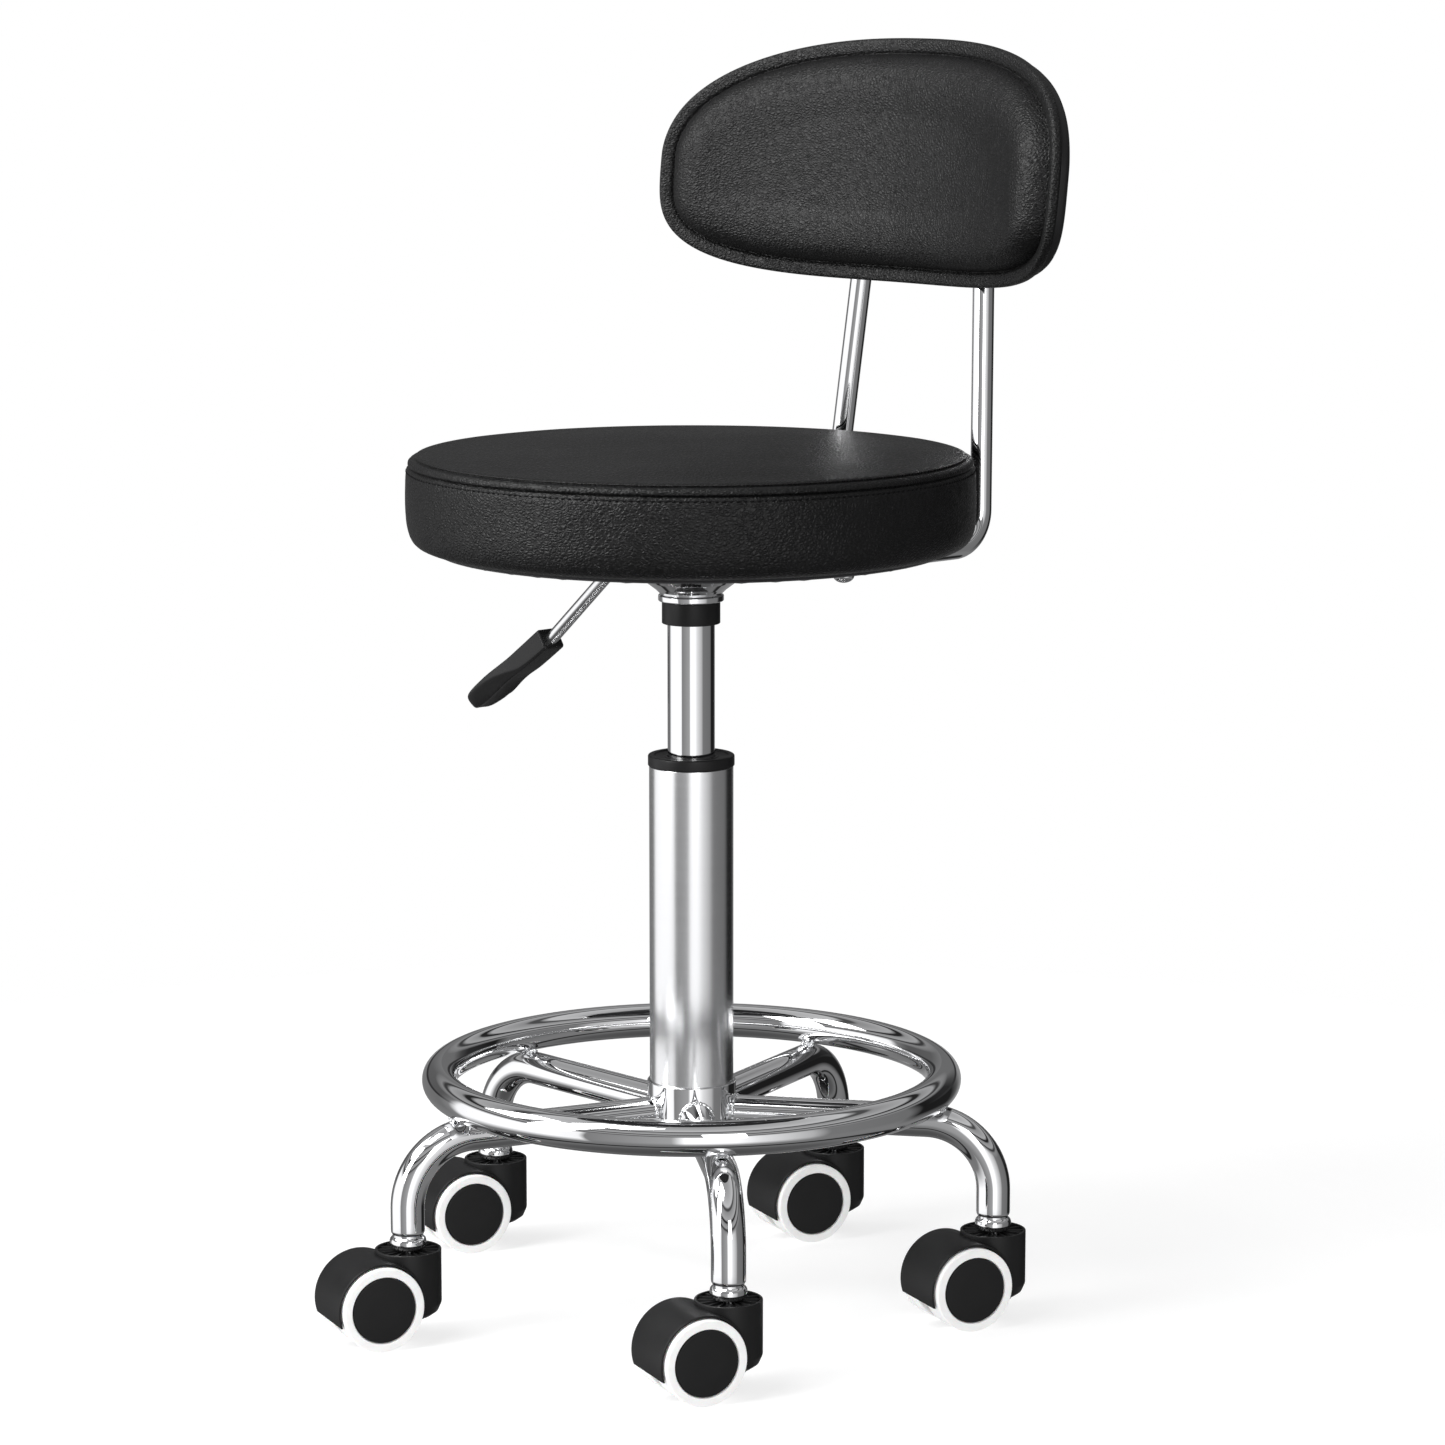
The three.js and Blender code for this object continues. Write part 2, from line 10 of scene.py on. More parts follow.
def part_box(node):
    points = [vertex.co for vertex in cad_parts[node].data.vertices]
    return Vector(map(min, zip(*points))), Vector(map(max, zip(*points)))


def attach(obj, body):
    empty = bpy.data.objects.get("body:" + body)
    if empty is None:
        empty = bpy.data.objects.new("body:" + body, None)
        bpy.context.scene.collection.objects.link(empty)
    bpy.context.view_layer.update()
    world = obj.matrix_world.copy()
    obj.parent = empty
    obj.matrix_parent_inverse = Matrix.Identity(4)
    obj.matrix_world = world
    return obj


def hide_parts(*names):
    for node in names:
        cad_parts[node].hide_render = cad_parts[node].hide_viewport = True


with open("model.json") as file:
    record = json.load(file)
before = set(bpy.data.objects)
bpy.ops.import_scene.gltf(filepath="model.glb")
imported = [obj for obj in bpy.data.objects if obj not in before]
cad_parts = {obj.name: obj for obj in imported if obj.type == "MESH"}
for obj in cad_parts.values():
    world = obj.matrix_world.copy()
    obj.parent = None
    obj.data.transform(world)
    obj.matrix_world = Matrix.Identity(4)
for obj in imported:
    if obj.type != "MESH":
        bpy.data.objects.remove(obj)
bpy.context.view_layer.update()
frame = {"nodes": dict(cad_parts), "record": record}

MM = 0.001
UP = Vector((0, 0, 1))
NODES = frame["nodes"]


# ---------------------------------------------------------------------------------- materials

class Nodes:
    """Small builder for a node tree."""

    def __init__(self, tree):
        self.tree = tree

    def node(self, kind, **values):
        made = self.tree.nodes.new(kind)
        for key, value in values.items():
            if hasattr(made, key):
                setattr(made, key, value)
            else:
                made.inputs[key.replace("_", " ")].default_value = value
        return made

    def link(self, source, target):
        self.tree.links.new(source, target)

    def ramp(self, source, low, high, start=0.0, end=1.0, curve="LINEAR"):
        """Maps start..end of the source to low..high."""
        made = self.node("ShaderNodeMapRange", interpolation_type=curve)
        made.inputs["From Min"].default_value = start
        made.inputs["From Max"].default_value = end
        made.inputs["To Min"].default_value = low
        made.inputs["To Max"].default_value = high
        self.link(source, made.inputs["Value"])
        return made.outputs["Result"]

    def feed(self, made, values):
        """Gives a node's first inputs a value or a link each."""
        for slot, value in zip(made.inputs, values):
            if isinstance(value, bpy.types.NodeSocket):
                self.link(value, slot)
            else:
                slot.default_value = value

    def math(self, operation, first, second):
        made = self.node("ShaderNodeMath", operation=operation)
        self.feed(made, (first, second))
        return made.outputs[0]

    def vector(self, operation, first, second):
        made = self.node("ShaderNodeVectorMath", operation=operation)
        self.feed(made, (first, second))
        return made

    def mix(self, factor, first, second):
        made = self.node("ShaderNodeMix", data_type="RGBA")
        for slot, value in zip((0, 6, 7), (factor, first, second)):
            if isinstance(value, tuple):
                made.inputs[slot].default_value = (*value, 1.0)
            else:
                self.link(value, made.inputs[slot])
        return made.outputs[2]

    def greys(self, source, stops, low=-1.0, high=1.0):
        """Colour ramp of greys over low..high of a source in 0..1. Each stop is (place, brightness)."""
        made = self.node("ShaderNodeValToRGB")
        ramp = made.color_ramp
        ramp.elements.remove(ramp.elements[-1])
        for index, (place, value) in enumerate(stops):
            position = (place - low) / (high - low)
            stop = ramp.elements[0] if index == 0 else ramp.elements.new(position)
            stop.position = position
            stop.color = (value, value, value * 1.01, 1.0)
        self.link(source, made.inputs["Fac"])
        return made.outputs["Color"]


class Shader(Nodes):
    """A node material with one Principled BSDF."""

    def __init__(self, name):
        self.mat = bpy.data.materials.new(name)
        self.mat.use_nodes = True
        super().__init__(self.mat.node_tree)
        self.bsdf = self.tree.nodes["Principled BSDF"]
        self.object = self.node("ShaderNodeTexCoord").outputs["Object"]

    def set(self, **values):
        for key, value in values.items():
            self.bsdf.inputs[key.replace("_", " ")].default_value = value

    def scaled(self, scale):
        mapping = self.node("ShaderNodeMapping")
        mapping.inputs["Scale"].default_value = scale
        self.link(self.object, mapping.inputs["Vector"])
        return mapping.outputs["Vector"]

    def noise(self, scale, detail=4.0, roughness=0.5, vector=None):
        made = self.node("ShaderNodeTexNoise", Scale=scale, Detail=detail, Roughness=roughness)
        self.link(vector or self.object, made.inputs["Vector"])
        return made.outputs["Fac"]

    def voronoi(self, scale, feature="F1", vector=None, **more):
        made = self.node("ShaderNodeTexVoronoi", feature=feature, Scale=scale, **more)
        self.link(vector or self.object, made.inputs["Vector"])
        return made.outputs["Distance"]

    def warped(self, scale, amount, flatten):
        """Object coordinates pushed about by noise and squeezed in height, so that cells don't look ruled."""
        cloud = self.node("ShaderNodeTexNoise", Scale=scale, Detail=2.0)
        self.link(self.object, cloud.inputs["Vector"])
        centred = self.vector("SUBTRACT", cloud.outputs["Color"], (0.5, 0.5, 0.5)).outputs[0]
        small = self.vector("MULTIPLY", centred, (amount,) * 3).outputs[0]
        total = self.vector("ADD", self.object, small).outputs[0]
        return self.vector("MULTIPLY", total, (1.0, 1.0, flatten)).outputs[0]

    def bump(self, height, strength, distance, normal=None):
        made = self.node("ShaderNodeBump", Strength=strength, Distance=distance)
        self.link(height, made.inputs["Height"])
        if normal is not None:
            self.link(normal, made.inputs["Normal"])
        return made.outputs["Normal"]

    def finish(self, color, roughness, normal):
        self.link(color, self.bsdf.inputs["Base Color"])
        self.link(roughness, self.bsdf.inputs["Roughness"])
        self.link(normal, self.bsdf.inputs["Normal"])
        return self.mat


def make_chrome(name, rough=0.02, tint=(0.87, 0.873, 0.88)):
    s = Shader(name)
    s.set(Metallic=1.0)
    smudge = s.noise(28.0, 5.0, 0.62)
    haze = s.noise(420.0, 3.0)
    tone = s.mix(s.ramp(smudge, 0.0, 1.0, 0.35, 0.7), tuple(c * 0.965 for c in tint), tint)
    gloss = s.math("ADD", s.ramp(smudge, rough * 0.7, rough * 1.7, 0.35, 0.72), s.ramp(haze, 0.0, 0.008))
    ripple = s.bump(s.noise(55.0, 2.0), 0.05, 0.0004)
    return s.finish(tone, gloss, ripple)


def make_satin():
    """Satin chrome tube, brushed round its axis."""
    s = Shader("satin_tube")
    s.set(Metallic=1.0)
    rings = s.noise(1.0, 3.0, 0.6, s.scaled((18.0, 18.0, 2600.0)))
    cloud = s.noise(22.0, 4.0)
    tone = s.mix(s.ramp(rings, 0.0, 1.0, 0.3, 0.7), (0.81, 0.813, 0.82), (0.84, 0.843, 0.85))
    gloss = s.math("ADD", s.ramp(rings, 0.2, 0.25, 0.3, 0.7), s.ramp(cloud, -0.01, 0.015, 0.3, 0.7))
    fine = s.bump(rings, 0.06, 0.00005)
    return s.finish(tone, gloss, fine)


def make_steel():
    s = Shader("ground_steel")
    s.set(Metallic=1.0)
    grain = s.noise(900.0, 3.0)
    tone = s.mix(s.noise(60.0), (0.42, 0.425, 0.43), (0.56, 0.56, 0.57))
    return s.finish(tone, s.ramp(grain, 0.28, 0.42, 0.3, 0.7), s.bump(grain, 0.1, 0.0001))


def make_leather(name, cell):
    """Black PU leather: pebbles in two sizes over slow undulation, dull in the valleys, with painted shade
    that darkens the valleys and random tone from the undulation.
    """
    s = Shader(name)
    s.set(Specular_IOR_Level=0.26)
    spot = s.warped(190.0, 0.0032, 1.5)
    edge = s.voronoi(1.0 / cell, "DISTANCE_TO_EDGE", spot)
    dome = s.ramp(edge, 0.0, 1.0, -0.05, 0.42, "SMOOTHSTEP")
    small = s.voronoi(1.0 / (cell * 0.46), "SMOOTH_F1", spot, Smoothness=0.6)
    fleck = s.ramp(small, 1.0, 0.0, 0.1, 0.9)
    height = s.math("ADD", s.math("MULTIPLY", dome, 0.75), s.math("MULTIPLY", fleck, 0.3))
    slow = s.noise(34.0, 4.0, 0.55)
    # Painted shade: the colour is darker in the pebble valleys and lighter on the pebble tops, plus random
    # tone from the slow undulation.
    painted_grain_shade = s.ramp(s.math("ADD", height, slow), 0.0, 1.0, 0.5, 1.5)
    tone = s.mix(painted_grain_shade, (0.003, 0.003, 0.003), (0.0075, 0.0075, 0.0075 * 1.03))
    patch = s.noise(12.0, 3.0)
    shine = s.math("ADD", s.ramp(dome, 0.43, 0.3), s.ramp(patch, -0.03, 0.04, 0.3, 0.7))
    waves = s.bump(slow, 0.16, 0.0012)
    return s.finish(tone, shine, s.bump(height, 1.0, 0.00042, waves))


def make_plastic(name, dark=0.007, light=0.0115, rough=0.4, grain=1500.0, strength=0.12, level=0.25):
    """Moulded black plastic with a spark-eroded grain and faint flow marks."""
    s = Shader(name)
    s.set(Specular_IOR_Level=level)
    spark = s.noise(grain, 3.0, 0.6)
    flow = s.noise(24.0, 4.0, 0.6)
    tone = s.mix(flow, (dark,) * 3, (light, light, light * 1.04))
    gloss = s.math("ADD", s.ramp(flow, rough - 0.05, rough + 0.06, 0.3, 0.7), s.ramp(spark, -0.03, 0.03))
    return s.finish(tone, gloss, s.bump(spark, strength, 0.00012))


def make_tyre():
    """White polyurethane tyre with faint scuffs."""
    s = Shader("tyre_white")
    s.set(Specular_IOR_Level=0.4, Subsurface_Weight=0.08, Subsurface_Scale=0.002)
    scuff = s.noise(90.0, 6.0, 0.7)
    fine = s.noise(1300.0, 2.0)
    tone = s.mix(s.ramp(scuff, 0.0, 1.0, 0.42, 0.75), (0.93, 0.93, 0.925), (0.87, 0.87, 0.86))
    return s.finish(tone, s.ramp(scuff, 0.42, 0.56, 0.3, 0.7), s.bump(fine, 0.08, 0.0001))


def make_cover_cloth():
    """Black non-woven dust cover under the seat: bonded fibres with a small emboss."""
    s = Shader("dust_cover")
    s.set(Specular_IOR_Level=0.25, Sheen_Weight=0.15, Sheen_Roughness=0.5)
    fibre = s.noise(1.0, 6.0, 0.7, s.scaled((900.0, 260.0, 900.0)))
    dots = s.voronoi(420.0)
    tone = s.mix(fibre, (0.012, 0.012, 0.013), (0.035, 0.035, 0.037))
    height = s.math("ADD", fibre, s.ramp(dots, 0.0, 0.6, 0.0, 0.5))
    return s.finish(tone, s.ramp(fibre, 0.75, 0.95), s.bump(height, 0.5, 0.0003))


def make_thread():
    s = Shader("black_thread")
    s.set(Specular_IOR_Level=0.12)
    twist = s.noise(1.0, 2.0, 0.5, s.scaled((5200.0, 5200.0, 2600.0)))
    tone = s.mix(twist, (0.0015, 0.0015, 0.0016), (0.005, 0.005, 0.0055))
    return s.finish(tone, s.ramp(twist, 0.6, 0.8), s.bump(twist, 0.4, 0.0001))


CHROME = make_chrome("chrome")
CHROME_WELD = make_chrome("chrome_weld", 0.11, (0.8, 0.81, 0.82))
CHROME_BAR = make_chrome("chrome_bar", 0.2)
SATIN = make_satin()
STEEL = make_steel()
LEATHER = make_leather("black_leather", 0.0027)
LEATHER_BACK = make_leather("black_leather_back", 0.0025)
PLASTIC = make_plastic("black_plastic")
GRIP_PLASTIC = make_plastic("grip_plastic", 0.0075, 0.012, 0.42, 1900.0, 0.14, 0.28)
CASTER_PLASTIC = make_plastic("caster_plastic", 0.0075, 0.012, 0.42, 1700.0, 0.14, 0.24)
SHELL = make_plastic("back_shell", 0.008, 0.013, 0.52, 700.0, 0.3, 0.25)
TYRE = make_tyre()
COVER = make_cover_cloth()
THREAD = make_thread()


# ----------------------------------------------------------------------------------- geometry

def new_object(name, vertices, faces, material, smooth=35.0):
    """A mesh object from points in millimetres."""
    mesh = bpy.data.meshes.new(name)
    mesh.from_pydata([Vector(v) * MM for v in vertices], [], faces)
    mesh.update()
    mesh.materials.append(material)
    tidy(mesh, smooth)
    made = bpy.data.objects.new(name, mesh)
    bpy.context.collection.objects.link(made)
    return made


def tidy(mesh, smooth=35.0):
    """Merges double points, turns the faces out and keeps edges over an angle sharp."""
    work = bmesh.new()
    work.from_mesh(mesh)
    bmesh.ops.remove_doubles(work, verts=work.verts, dist=1e-7)
    bmesh.ops.recalc_face_normals(work, faces=work.faces)
    work.to_mesh(mesh)
    work.free()
    for polygon in mesh.polygons:
        polygon.use_smooth = True
    mesh.set_sharp_from_angle(angle=math.radians(smooth))


FILLET_STEPS = 5


def rounded(points, closed):
    """Rounds the corners of a profile. A point is (radius, height) or (radius, height, fillet)."""
    made = []
    count = len(points)
    for i, point in enumerate(points):
        here = Vector(point[:2])
        fillet = point[2] if len(point) > 2 else 0.0
        ends = not closed and i in (0, count - 1)
        if fillet == 0.0 or ends:
            made.append(here)
            continue
        before = (Vector(points[i - 1][:2]) - here).normalized()
        after = (Vector(points[(i + 1) % count][:2]) - here).normalized()
        angle = before.angle(after)
        reach = fillet / math.tan(angle / 2)
        start = here + before * reach
        end = here + after * reach
        centre = here + (before + after).normalized() * (fillet / math.sin(angle / 2))
        first = start - centre
        last = end - centre
        for k in range(FILLET_STEPS + 1):
            share = k / FILLET_STEPS
            made.append(centre + first.slerp(last, share, first).normalized() * fillet)
    return made


def turned_data(profile, segments):
    """Points of a solid of revolution about Z, and the rows that they make."""
    vertices = []
    rows = []
    for radius, height in profile:
        if radius < 1e-6:
            rows.append([len(vertices)] * segments)
            vertices.append((0.0, 0.0, height))
            continue
        rows.append(list(range(len(vertices), len(vertices) + segments)))
        for i in range(segments):
            turn = 2 * math.pi * i / segments
            vertices.append((radius * math.cos(turn), radius * math.sin(turn), height))
    return vertices, rows


def row_faces(rows, closed=False):
    faces = []
    pairs = list(zip(rows, rows[1:]))
    if closed:
        pairs.append((rows[-1], rows[0]))
    for low, high in pairs:
        count = len(low)
        for i in range(count):
            j = (i + 1) % count
            corners = []
            for corner in (low[i], low[j], high[j], high[i]):
                if corner not in corners:
                    corners.append(corner)
            if len(corners) > 2:
                faces.append(corners)
    return faces


def turned(name, points, material, segments=96, closed=False):
    vertices, rows = turned_data(rounded(points, closed), segments)
    return new_object(name, vertices, row_faces(rows, closed), material)


def bent_path(start, corner, end, radius, steps):
    """Stations (point, direction) along a bar that is bent once, and the bend's side vector."""
    start, corner, end = Vector(start), Vector(corner), Vector(end)
    into = (corner - start).normalized()
    out = (end - corner).normalized()
    angle = into.angle(out)
    side = into.cross(out).normalized()
    inward = side.cross(into)
    first = corner - into * (radius * math.tan(angle / 2))
    centre = first + inward * radius
    stations = [(start, into)]
    for k in range(steps + 1):
        turn = Matrix.Rotation(angle * k / steps, 3, side)
        stations.append((centre + turn @ (-inward * radius), turn @ into))
    stations.append((end, out))
    return stations, side


def in_plan(vector):
    """The vector's level part."""
    return Vector((vector.x, vector.y, 0.0))


def spoke_at(turn):
    return Vector((math.cos(turn), math.sin(turn), 0.0))


def ring_points(at, along, side, radius, sides):
    across = side.cross(along)
    made = []
    for i in range(sides):
        turn = 2 * math.pi * i / sides
        made.append(at + across * (radius * math.cos(turn)) + side * (radius * math.sin(turn)))
    return made


def ring_rows(rings):
    count = len(rings[0])
    return [list(range(k * count, (k + 1) * count)) for k in range(len(rings))]


def skinned(rings):
    """Points and faces of a closed skin over a row of rings."""
    rows = ring_rows(rings)
    vertices = [point for ring in rings for point in ring]
    return vertices, row_faces(rows) + [rows[0][::-1], rows[-1]]


def joined(parts):
    """Several closed shapes as one list of points and one of faces."""
    vertices = []
    faces = []
    for points, sides in parts:
        base = len(vertices)
        vertices += points
        faces += [[index + base for index in face] for face in sides]
    return vertices, faces


def evened(stations, step=7.0):
    """The stations with more put into the straight runs, so that no face is a long sliver."""
    made = []
    for (start, into), (end, out) in zip(stations, stations[1:]):
        count = max(1, round((end - start).length / step))
        made += [(start.lerp(end, k / count), into.lerp(out, k / count).normalized()) for k in range(count)]
    made.append(stations[-1])
    return made


def bar(name, stations, side, radius, material, sides, ends=()):
    """Round bar along stations. ends adds (offset along the last direction, radius) rings."""
    stations = evened(stations)
    rings = [ring_points(at, along, side, radius, sides) for at, along in stations]
    last, out = stations[-1]
    for offset, size in ends:
        rings.append(ring_points(last + out * offset, out, side, size, sides))
    return new_object(name, *skinned(rings), material)


def put(made, body, *nodes, slot):
    """Lets a piece ride on a body and stand for nodes."""
    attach(made, body)
    if nodes:
        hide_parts(*nodes)


def coated(material, *nodes):
    """Gives carried-over nodes a material."""
    for node in nodes:
        NODES[node].data.materials.clear()
        NODES[node].data.materials.append(material)


def centre_of(node):
    low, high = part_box(node)
    return (Vector(low) + Vector(high)) / 2 / MM


def top_of(node):
    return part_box(node)[1][2] / MM


def bottom_of(node):
    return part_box(node)[0][2] / MM


JOINTS = {joint["name"]: joint for joint in frame["record"]["behaviour"]["joints"]}


def joint_place(name):
    """A joint's axis point, in millimetres in the row frame."""
    return Vector(JOINTS[name]["pos_m"]) / MM


# ----------------------------------------------------------------------------------- the base

LEGS = range(1, 6)
LEG_R = 10.0
LEG_BEND_R = 40.0
LEG_Z = top_of("leg_1") - LEG_R
FOOT_Z = bottom_of("leg_1")
RING_TUBE_R = 10.5
RING_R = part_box("foot_ring")[1][0] / MM - RING_TUBE_R
RING_Z = centre_of("foot_ring").z
HUB_R = 26.5
HUB_BORE_R = 25.3
HUB_TOP = top_of("hub")
HUB_BOTTOM = bottom_of("hub")


def make_leg(n):
    pivot = in_plan(joint_place(f"caster_{n}_swivel"))
    outward = pivot.normalized()
    reach = pivot.length
    start = outward * (HUB_R - 4.0) + UP * LEG_Z
    corner = outward * reach + UP * LEG_Z
    end = outward * reach + UP * (FOOT_Z + 11.0)
    stations, side = bent_path(start, corner, end, LEG_BEND_R, 26)
    bead = [
        (1.2, 9.9), (2.2, 9.4), (2.9, 8.9), (3.6, 9.0), (4.3, 9.8), (5.2, 10.5),
        (6.4, 10.8), (8.2, 10.8), (9.6, 10.5), (10.5, 10.0), (11.0, 9.4), (11.0, 6.0),
    ]
    leg = bar(f"leg_tube_{n}", stations, side, LEG_R, CHROME, 48, bead)
    put(leg, "base", f"leg_{n}", slot="chrome")
    return outward


def weld_bead(name, centre, axis, around, radius, width, lumps):
    """A wavy fillet weld that runs round part of a circle."""
    axis = Vector(axis).normalized()
    first = Vector(around).normalized()
    second = axis.cross(first)
    rings = []
    steps = lumps * 5
    for k in range(steps + 1):
        share = k / steps
        turn = math.radians(-150 + 300 * share)
        spoke = first * math.cos(turn) + second * math.sin(turn)
        along = -first * math.sin(turn) + second * math.cos(turn)
        swell = width * (0.86 + 0.16 * math.sin(2 * math.pi * lumps * share))
        swell *= min(1.0, 6 * share + 0.2, 6 * (1 - share) + 0.2)
        at = Vector(centre) + spoke * radius
        rings.append(ring_points(at, along, axis, swell, 12))
    return new_object(name, *skinned(rings), CHROME_WELD)


DIRECTIONS = []
for number in LEGS:
    direction = make_leg(number)
    DIRECTIONS.append(direction)
    root = direction * (HUB_R + 0.4) + UP * LEG_Z
    hub_weld = weld_bead(f"hub_weld_{number}", root, direction, UP, LEG_R + 0.1, 1.0, 18)
    put(hub_weld, "base", slot="chrome")


def make_foot_ring(steps=240, sides=48):
    rings = []
    for i in range(steps):
        spoke = spoke_at(2 * math.pi * i / steps)
        rings.append(ring_points(spoke * RING_R + UP * RING_Z, UP.cross(spoke), UP, RING_TUBE_R, sides))
    points = [point for ring in rings for point in ring]
    made = new_object("foot_ring_tube", points, row_faces(ring_rows(rings), True), CHROME)
    put(made, "base", "foot_ring", slot="chrome")


make_foot_ring()


def saddle_weld(name, outward):
    """Weld between the top of a leg and the foot ring, on both sides of the ring."""
    across = UP.cross(outward)
    parts = []
    for sign in (-1, 1):
        rings = []
        for k in range(25):
            share = k / 24
            offset = (share - 0.5) * 9.0
            drop = LEG_R - math.sqrt(LEG_R ** 2 - offset ** 2)
            out = RING_R + sign * (3.4 + 0.5 * drop)
            at = outward * out + across * offset + UP * (LEG_Z + LEG_R - drop + 0.5)
            size = (1.15 + 0.16 * math.sin(share * 44)) * min(1.0, 5 * share + 0.25, 5 * (1 - share) + 0.25)
            rings.append(ring_points(at, across, UP, size, 12))
        parts.append(skinned(rings))
    return new_object(name, *joined(parts), CHROME_WELD)


for number, direction in zip(LEGS, DIRECTIONS):
    put(saddle_weld(f"ring_weld_{number}", direction), "base", slot="chrome")

hub = turned("hub_sleeve", [
    (HUB_BORE_R, HUB_BOTTOM), (HUB_R, HUB_BOTTOM, 0.5), (HUB_R, HUB_TOP, 0.5), (HUB_BORE_R, HUB_TOP, 0.3),
], CHROME, 128, closed=True)
put(hub, "base", "hub", slot="chrome")

COLUMN_R = 25.0
COLUMN_BORE_R = 23.3
COLUMN_FLOOR = 3
COLUMN_BOTTOM = bottom_of("outer_tube")
COLUMN_TOP = top_of("outer_tube")
column = turned("column_tube", [
    (6.0, COLUMN_BOTTOM), (COLUMN_R, COLUMN_BOTTOM, 0.8), (COLUMN_R, COLUMN_TOP, 0.5),
    (COLUMN_BORE_R, COLUMN_TOP, 0.3), (COLUMN_BORE_R, COLUMN_BOTTOM + COLUMN_FLOOR),
    (6.0, COLUMN_BOTTOM + COLUMN_FLOOR),
], SATIN, 128, closed=True)
put(column, "base", "outer_tube", slot="satin_chrome")

CAP_R = 25.7
PLUG_R = 22.8
LIFT_BORE_R = 14.3
CAP_TOP = top_of("tube_cap")
cap = turned("column_cap", [
    (LIFT_BORE_R, COLUMN_TOP - 20), (PLUG_R, COLUMN_TOP - 20, 0.5), (PLUG_R, COLUMN_TOP + 0.3),
    (CAP_R, COLUMN_TOP + 0.3, 0.4), (CAP_R, CAP_TOP, 1.1), (22.2, CAP_TOP, 0.4), (21.6, CAP_TOP - 0.8, 0.3),
    (16.4, CAP_TOP - 1.5, 0.3), (15.6, CAP_TOP - 0.9, 0.3), (LIFT_BORE_R, CAP_TOP - 0.9, 0.3),
], PLASTIC, 128, closed=True)
put(cap, "base", "tube_cap", slot="plastic")


# -------------------------------------------------------------------------------- the gas lift

CYL_R = 14.0
CYL_BOTTOM = bottom_of("gas_cylinder")
CYL_TOP = top_of("gas_cylinder")
cylinder = turned("lift_cylinder", [
    (0.0, CYL_BOTTOM + 4), (5.6, CYL_BOTTOM + 4, 0.3), (5.6, CYL_BOTTOM, 0.3), (CYL_R, CYL_BOTTOM, 1.2),
    (CYL_R, CYL_TOP, 1.8), (4.0, CYL_TOP, 0.3), (4.0, CYL_TOP - 10), (0.0, CYL_TOP - 10),
], CHROME, 96)
put(cylinder, "seat", "gas_cylinder", slot="chrome")

CUP_LIFT = 1.6
COLLAR_R = 17.25
COLLAR_BOTTOM = bottom_of("cylinder_collar") + CUP_LIFT
COLLAR_TOP = top_of("cylinder_collar") + CUP_LIFT
collar = turned("lift_collar", [
    (LIFT_BORE_R, COLLAR_BOTTOM), (COLLAR_R, COLLAR_BOTTOM, 0.5),
    (COLLAR_R, COLLAR_TOP, 0.4), (LIFT_BORE_R, COLLAR_TOP),
], PLASTIC, 96, closed=True)
put(collar, "seat", "cylinder_collar", slot="plastic")

coated(STEEL, "piston_rod", "thrust_bearing", "release_pin")
coated(COVER, "seat_board")


# ------------------------------------------------------------------------------ the seat mount

def boolean(target, cutter, operation):
    """Cuts the cutter out of the target or joins it on, and uses the cutter up."""
    modifier = target.modifiers.new("cut", "BOOLEAN")
    modifier.object = cutter
    modifier.operation = operation
    modifier.solver = "EXACT"
    depsgraph = bpy.context.evaluated_depsgraph_get()
    mesh = bpy.data.meshes.new_from_object(target.evaluated_get(depsgraph))
    target.modifiers.clear()
    target.data = mesh
    bpy.data.objects.remove(cutter)


def block(name, low, high):
    points = [(x, y, z) for z in (low[2], high[2]) for y in (low[1], high[1]) for x in (low[0], high[0])]
    sides = [(0, 2, 3, 1), (4, 5, 7, 6), (0, 1, 5, 4), (2, 6, 7, 3), (0, 4, 6, 2), (1, 3, 7, 5)]
    return new_object(name, points, sides, PLASTIC, 30.0)


PLATE_TOP = top_of("mount_plate")
PLATE_THICK = 3.0
PLATE_HALF = 56.0
PLATE_CORNER_R = 9.0
LIP_R = 19.4
SLOT_HALF = 5.4
SLOT_LOW = 436.5
SLOT_HIGH = 455.0
CUP_BOTTOM = bottom_of("mount_plate") + CUP_LIFT
cup = turned("mount_cup", [
    (14.4, CUP_BOTTOM), (LIP_R, CUP_BOTTOM, 0.8), (LIP_R, CUP_BOTTOM + 3.4, 0.9),
    (18.3, CUP_BOTTOM + 4.4, 0.6), (21.0, CUP_BOTTOM + 7.0, 3.0), (27.0, CUP_BOTTOM + 11.5, 6.0),
    (38.0, CUP_BOTTOM + 22.5, 8.0), (44.0, PLATE_TOP - PLATE_THICK, 2.0), (44.0, PLATE_TOP - 1.2),
    (41.0, PLATE_TOP - 1.2), (35.0, CUP_BOTTOM + 22.0, 5.0), (22.0, CUP_BOTTOM + 10.0, 3.0),
    (14.4, CUP_BOTTOM + 6.0),
], CHROME, 96, closed=True)
slot = block("lever_slot", (-70.0, -SLOT_HALF, SLOT_LOW), (-14.0, SLOT_HALF, SLOT_HIGH))
boolean(cup, slot, "DIFFERENCE")
tidy(cup.data)


def rounded_plate(name, half, corner, low, high, material):
    """Square plate with rounded corners and a small bevel."""
    outline = []
    for sx, sy, start in ((1, 1, 0), (-1, 1, 90), (-1, -1, 180), (1, -1, 270)):
        for k in range(9):
            turn = math.radians(start + 90 * k / 8)
            x = sx * (half - corner) + corner * math.cos(turn)
            y = sy * (half - corner) + corner * math.sin(turn)
            outline.append((x, y))
    rings = []
    for inset, z in ((0.6, low), (0.0, low + 0.6), (0.0, high - 0.4), (0.4, high)):
        scale = (half - inset) / half
        rings.append([Vector((x * scale, y * scale, z)) for x, y in outline])
    return new_object(name, *skinned(rings), material)


low = PLATE_TOP - PLATE_THICK
plate = rounded_plate("mount_plate_top", PLATE_HALF, PLATE_CORNER_R, low, PLATE_TOP, CHROME)


